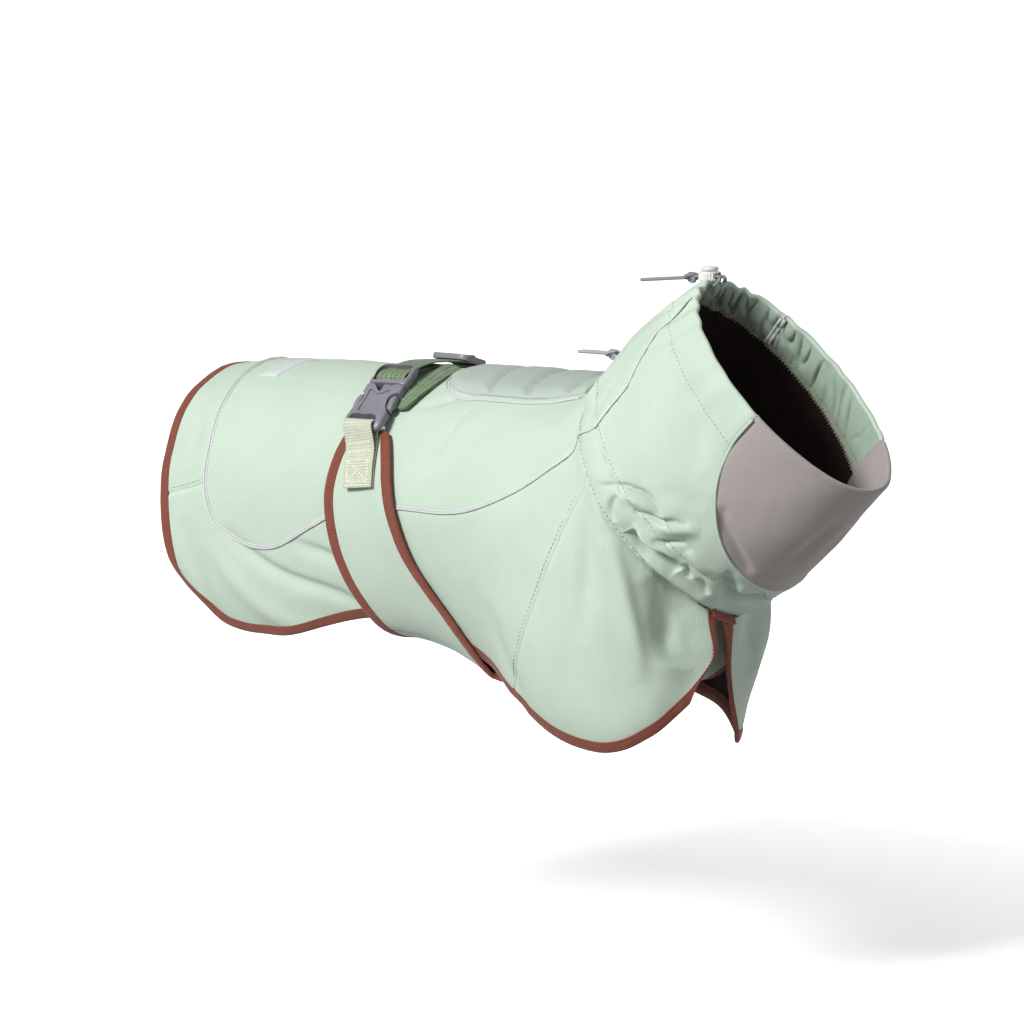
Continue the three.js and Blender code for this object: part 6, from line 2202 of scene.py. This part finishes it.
@dataclass
class Buckle:
    """Side-release buckle and the loop that holds it on the belt."""

    pattern: Pattern
    u: float = 3.41
    v: float = 0.91
    lift: float = 2.0
    half: float = 16.5
    height: float = 9.0
    plug_end: float = -10.36
    loop_bar: tuple[float, float] = (24.5, 4.5)

    def place(self) -> Array:
        """The buckle's frame."""
        return surface_place(self.pattern.shell.form, self.u, self.v, self.lift)

    def build(self, shop: Workshop) -> None:
        """Makes the two halves and the loop."""
        self.female(shop)
        self.male(shop)
        self.loop(shop)

    def block(self, x: list, narrower: list, low: list, lower: list) -> MeshData:
        """Block whose sides and top are drawn in by given lengths."""
        sides = self.half - np.array(narrower, float), self.height - np.array(lower, float)
        return pillow(np.stack([x, sides[0], low, sides[1]], 1), 4.2)

    def cut(
        self, shop: Workshop, name: str, node: str, body: MeshData, cutters: list[MeshData],
    ) -> None:
        """Puts a block in its place and cuts it."""
        place = self.place()
        made = shop.piece(name, placed(body, place), [ACETAL], "buckle_plastic", node, 35.0)
        shop.carve(made, [placed(solid, place) for solid in cutters])

    def female(self, shop: Workshop) -> None:
        """Socket: a waisted block with a mouth, windows and a slot."""
        top, over = self.height, self.height + 3
        body = self.block(
            [-10, -9.6, -8.6, -6, -2, 2, 6, 10, 14, 18, 21, 25, 27.5, 29, 30.2, 30.9, 31],
            [1.1, 0.4, 0, 0, 0.2, 0.5, 0.8, 0.9, 0.6, 0.2, 0, 0, 0.4, 1.0, 2.2, 3.4, 4.2],
            [0.7, 0.3, 0, 0, 0, 0, 0, 0, 0, 0, 0, 0.3, 0.9, 1.4, 2.0, 2.6, 3.2],
            [1.2, 0.5, 0, 0, 0.15, 0.3, 0.4, 0.4, 0.2, 0, 0, 0.4, 1.3, 1.9, 2.6, 3.3, 3.9],
        )
        mouth = [
            (-14, -12.5), (-9.8, -12.2), (-7.2, -7), (-1.8, 0), (-7.2, 7), (-9.8, 12.2),
            (-14, 12.5),
        ]
        window = np.array([
            (-1.5, 18.5), (-0.6, 13.4), (3.2, 10.9), (8, 11.4), (13.4, 14), (15.6, 18.5),
        ])
        arch = [
            (21.4, -10.8), (20, -5.5), (20.9, 0), (20, 5.5), (21.4, 10.8), (26.6, 11.6), (27, 0),
            (26.6, -11.6),
        ]
        rail = [
            (-3.5, -8.6), (0.5, 0), (-3.5, 8.6), (4, 8.6), (17.2, 7.6), (18, 0), (17.2, -7.6),
            (4, -8.6),
        ]
        self.cut(shop, "buckle_socket", "buckle_female", body, [
            cutter(mouth, 60, top - 4.6, over),
            prism(box_outline(-12, 19, self.half - 2.4), 2.2, 6.8),
            *(cutter(window * (1, sign), 56, 0.9, over) for sign in (-1, 1)),
            cutter(arch, 64, -2, over),
            cutter(rail, 40, top - 1.2, over),
        ])

    def male(self, shop: Workshop) -> None:
        """Plug: a block with a grip rib and bar, a tongue and sprung arms."""
        end = self.plug_end
        body = self.block(
            [-31, -30.9, -30.2, -29, -27.5, -25, -22, -20, -18.5, -17, -15, -12.5, -11.3,
             end - 0.1, end],
            [4.2, 3.4, 2.2, 1.0, 0.4, 0, 0, 0, 0, 0, 0, 0, 0.3, 0.8, 1.2],
            [3.2, 2.6, 2.0, 1.4, 0.9, 0.3, 0, 0, 0, 0, 0, 0, 0.2, 0.6, 0.9],
            [3.9, 3.3, 2.6, 1.9, 1.3, 0.4, 0, 0, 0.5, 0.5, 0, 0, 0.2, 0.6, 1.0],
        )
        parts = [pillow(np.array([
            (end - 3, 3.0, 2.7, 6.3), (6, 3.0, 2.7, 6.3), (12, 2.6, 2.7, 6.3),
            (14.5, 1.6, 3.0, 6.0),
            (15, 0.6, 3.6, 5.4),
        ]), 4.0, 24)]
        arm = np.array([
            (end - 3, 12.2), (0, 11.9), (3, 12.6), (8, 14.6), (12.6, 16.4), (13.2, 15),
            (10.5, 12.6),
            (4, 11.2), (end - 3, 10.2),
        ])
        # The arm's pad: place, middle, half width, and height above the buckle's underside.
        x, middle, half, high = np.array([
            (-0.2, 15.2, 0.5, 5.4), (0.3, 15, 1.2, 6.7), (1.6, 14.7, 1.95, 7.7),
            (4.2, 14.5, 2.6, 8.2),
            (7.5, 14.9, 2.35, 8.1), (10.5, 15.6, 1.6, 7.3), (12.2, 16.2, 0.95, 6.4),
            (12.9, 16.5, 0.6, 5.8), (13.1, 16.6, 0.25, 5.2),
        ]).T
        for sign in (-1, 1):
            pad = pillow(np.stack([x, half, 10 - high, high], 1), 3.0, 28)
            pad.vertices[:, 1] += np.interp(pad.vertices[:, 0], x, middle) * sign
            parts += [cutter(arm * (1, sign), 60, 2.6, 6.4), pad]
        parts.append(swept(straight_bar(-18.0, 14, 4.4, 24), round_profile(1.9, 16)))
        opening = [(-28, -13), (-13.4, -13), (-13.2, 0), (-13.4, 13), (-28, 13), (-28.2, 0)]
        self.cut(shop, "buckle_plug", "", body, [
            cutter(opening, 48, -2, self.height + 3), prism(box_outline(-34, -20, 13), -2, 3.4),
        ])
        prongs = placed(MeshData.joined(parts), self.place())
        shop.piece("buckle_prongs", prongs, [ACETAL], "buckle_plastic", "buckle_male")

    def loop(self, shop: Workshop) -> None:
        """Webbing folded round the socket's bar."""
        low = BELT_LIFT + BINDING_PROUD + LAYER_GAP + WEBBING_THICKNESS / 2
        high = low + WEBBING_THICKNESS + LAYER_GAP
        foot, middle, head = (3.52, 1.84), (3.5, 1.66), (3.47, 1.48)
        line = np.concatenate([
            over_shell(self.pattern, [(*foot, low), (*middle, low), (*head, low)]),
            in_frame(self.place(), [(30, -0.6), (26, 0.2), self.loop_bar, (26, 8.9), (31, 8.6)]),
            over_shell(self.pattern, [(*head, high + 0.8), (*middle, high), (*foot, high)]),
        ])
        track = ribbon_track(line, self.place()[:3, 1], 1.2)
        data = swept(track, WEBBING, 0.06, 71)
        shop.piece("loop_webbing", data, [PALE_WEBBING], "pale_webbing", "belt_loop")
        self.loop_stitching(shop, track)

    def loop_stitching(self, shop: Workshop, track: Track) -> None:
        """Stitches on the outer layer, each a straight row of its own.

        Formula: lines between pairs of (length from the loop's end, place across it).
        """
        ends = np.array([
            (4, -9, 4, 9), (4, 9, 19, 9), (19, 9, 19, -9), (19, -9, 4, -9), (4, -9, 19, 9),
            (4, 9, 19, -9), (25, -10, 25, 10), (31, -10, 31, 10), (1.5, -11, 1.5, 11),
        ])
        sign = np.sign(track.out[-1] @ self.place()[:3, 2])
        face = (WEBBING_THICKNESS / 2 - 0.05) * sign
        rows = []
        for row in ends:
            places = lerp(row[None, :2], row[None, 2:], np.linspace(0, 1, 60)[:, None])
            base = track.at(arc(track.points)[-1] - places[:, 0])
            points = base.points + base.across * places[:, 1:] + base.out * face
            across = unit(np.cross(unit(np.gradient(points, axis=0)), base.out * sign))
            rows.append(stitches(Track(points, base.out * sign, across), 2.6, 2.0, 0.5))
        shop.piece("stitching_loop", MeshData.joined(rows), [PALE_THREAD], "pale_webbing")


def over_shell(pattern: Pattern, rows: Sequence[tuple[float, float, float]]) -> Array:
    """Points above the shell from rows of (u, v, height)."""
    u, v, height = np.array(rows, float).T
    return pattern.shell.form.point(u, v) + height[:, None] * pattern.shell.form.normal(u, v)


def in_frame(matrix: Array, rows: Sequence[tuple[float, float]]) -> Array:
    """Points in a frame's middle plane from rows of (x, z)."""
    q = np.array(rows, float)
    return matrix[:3, 3] + q[:, :1] * matrix[:3, 0] + q[:, 1:] * matrix[:3, 2]


def ribbon_track(points: Array, across: Array, step: float) -> Track:
    """Ribbon's line, its width along one fixed direction."""
    line = spline_rows(points, np.linspace(0, len(points) - 1, 24 * (len(points) - 1) + 1))
    line = even_rows(line, int(arc(line)[-1] / step))
    along = unit(np.gradient(line, axis=0))
    side = unit(across - along * (along @ across)[:, None])
    return Track(line, unit(np.cross(side, along)), side)


WEBBING = tape_profile(WEBBING_WIDTH, WEBBING_THICKNESS, 13, 0.22)


@dataclass
class Strap:
    """Back strap with its tri-glide and free end."""

    pattern: Pattern
    buckle: Buckle
    glide: tuple[float, float, float] = (3.5, -0.27, 5.4)
    glide_length: float = 27.0
    glide_width: float = 33.0
    glide_thickness: float = 4.0
    glide_bar: float = 4.5

    def build(self, shop: Workshop) -> None:
        """Makes the tri-glide, the strap and its tail."""
        self.tri_glide(shop)
        self.strap(shop)
        self.tail(shop)

    def tri_glide(self, shop: Workshop) -> None:
        """Slide: a ring with a bar across its middle.

        Formula: a tape section carried round a superellipse of power 7.
        """
        bar, t = self.glide_bar, self.glide_thickness
        x, y = self.glide_length / 2 - bar / 2, self.glide_width / 2 - 1.9
        turn = np.linspace(0, math.tau, 160, endpoint=False)
        sides = (x * rounded(np.cos(turn), 2 / 7), y * rounded(np.sin(turn), 2 / 7))
        ring = np.stack([*sides, np.full_like(turn, t / 2)], 1)
        even = even_rows(np.concatenate([ring, ring[:1]]), 150)
        along = unit(np.roll(even[:-1], -1, 0) - np.roll(even[:-1], 1, 0))
        along = np.concatenate([along, along[:1]])
        out = np.broadcast_to((0.0, 0.0, 1.0), along.shape)
        rim = swept(Track(even, out, unit(np.cross(along, out))), tape_profile(bar * 0.92, t))
        middle = swept(straight_bar(0.0, y, t / 2, 30), tape_profile(bar, t))
        place = surface_place(self.pattern.shell.form, *self.glide)
        data = placed(MeshData.joined([rim, middle]), place)
        shop.piece("tri_glide_slide", data, [ACETAL], "buckle_plastic", "tri_glide")

    def strap(self, shop: Workshop) -> None:
        """Webbing from the belt's left arm, round the plug and back."""
        belt = BELT_LIFT + BINDING_PROUD + LAYER_GAP + WEBBING_THICKNESS / 2
        low = 2 * LAYER_GAP + WEBBING_THICKNESS / 2
        high = low + WEBBING_THICKNESS + LAYER_GAP
        glide = surface_place(self.pattern.shell.form, *self.glide)
        over = self.glide_thickness + WEBBING_THICKNESS / 2 + 0.1
        line = np.concatenate([
            over_shell(self.pattern, [
                (3.5, -1.75, belt), (3.5, -1.4, belt), (3.5, -1.1, belt + 0.2), (3.52, -0.7, low),
                (3.5, -0.3, low), (3.42, 0.02, low), (3.33, 0.22, low + 0.4),
            ]),
            in_frame(self.buckle.place(), [
                (-30, -0.5), (-24, 0.2), (-18, 1.4), (-14.7, 4.4), (-17.6, 7.5), (-23.5, 6.1),
                (-28, 3.0), (-32, 1.5),
            ]),
            over_shell(self.pattern, [(3.4, 0.2, high + 2.4)]),
            in_frame(glide, [
                (11.2, -1.0), (5, 1.6), (0, over), (-5, 1.8), (-11, -1.0), (-17, -1.3),
            ]),
        ])
        data = swept(ribbon_track(line, self.buckle.place()[:3, 1], 1.3), WEBBING, 0.06, 72)
        shop.piece("strap_webbing", data, [MOSS_WEBBING], "green_webbing", "strap_back")

    def tail(self, shop: Workshop) -> None:
        """Free end, doubled to half its width and slightly twisted."""
        line = over_shell(self.pattern, [
            (3.8, 0.06, 1.5), (3.85, 0.3, 2.2), (3.87, 0.52, 2.8), (3.82, 0.76, 3.0),
            (3.73, 1.0, 3.4),
        ])
        track = ribbon_track(line, self.buckle.place()[:3, 1], 1.1)
        turn = np.radians(np.linspace(24.0, -8.0, len(track.points)))[:, None]
        across = track.across * np.cos(turn) + track.out * np.sin(turn)
        out = track.out * np.cos(turn) - track.across * np.sin(turn)
        run = arc(track.points)
        ends = np.clip(np.minimum(run, run[-1] - run) / 5.0, 0, 1)
        narrow = np.sqrt(1 - (1 - ends) ** 2).clip(0.12)[:, None]
        shape = tape_profile(13.0, 2.6, 5, 0.3)
        data = swept(Track(track.points, out, across * narrow), shape, 0.06, 73)
        shop.piece("tail_webbing", data, [MOSS_WEBBING], "green_webbing", "strap_tail")


def main() -> None:
    """Builds the studio, the cords and every sub-assembly."""
    logging.basicConfig(level=logging.INFO, format="%(name)s %(message)s")
    Studio().build()
    shop = Workshop()
    DrawCord("collar", CORD_BRAID, COLLAR_ROUTE, (222.2, 0.0, 70.9)).build(shop)
    DrawCord("nape", PALE_BRAID, NAPE_ROUTE, (155.2, 0.0, 16.6)).build(shop)
    CordLock().build(shop)
    pattern = Pattern()
    for assembly in (Shell, Hem, Collar, Yoke, RumpPatch, Belt):
        assembly(pattern).build(shop)
    buckle = Buckle(pattern)
    buckle.build(shop)
    Strap(pattern, buckle).build(shop)


if __name__ == "__main__":
    main()
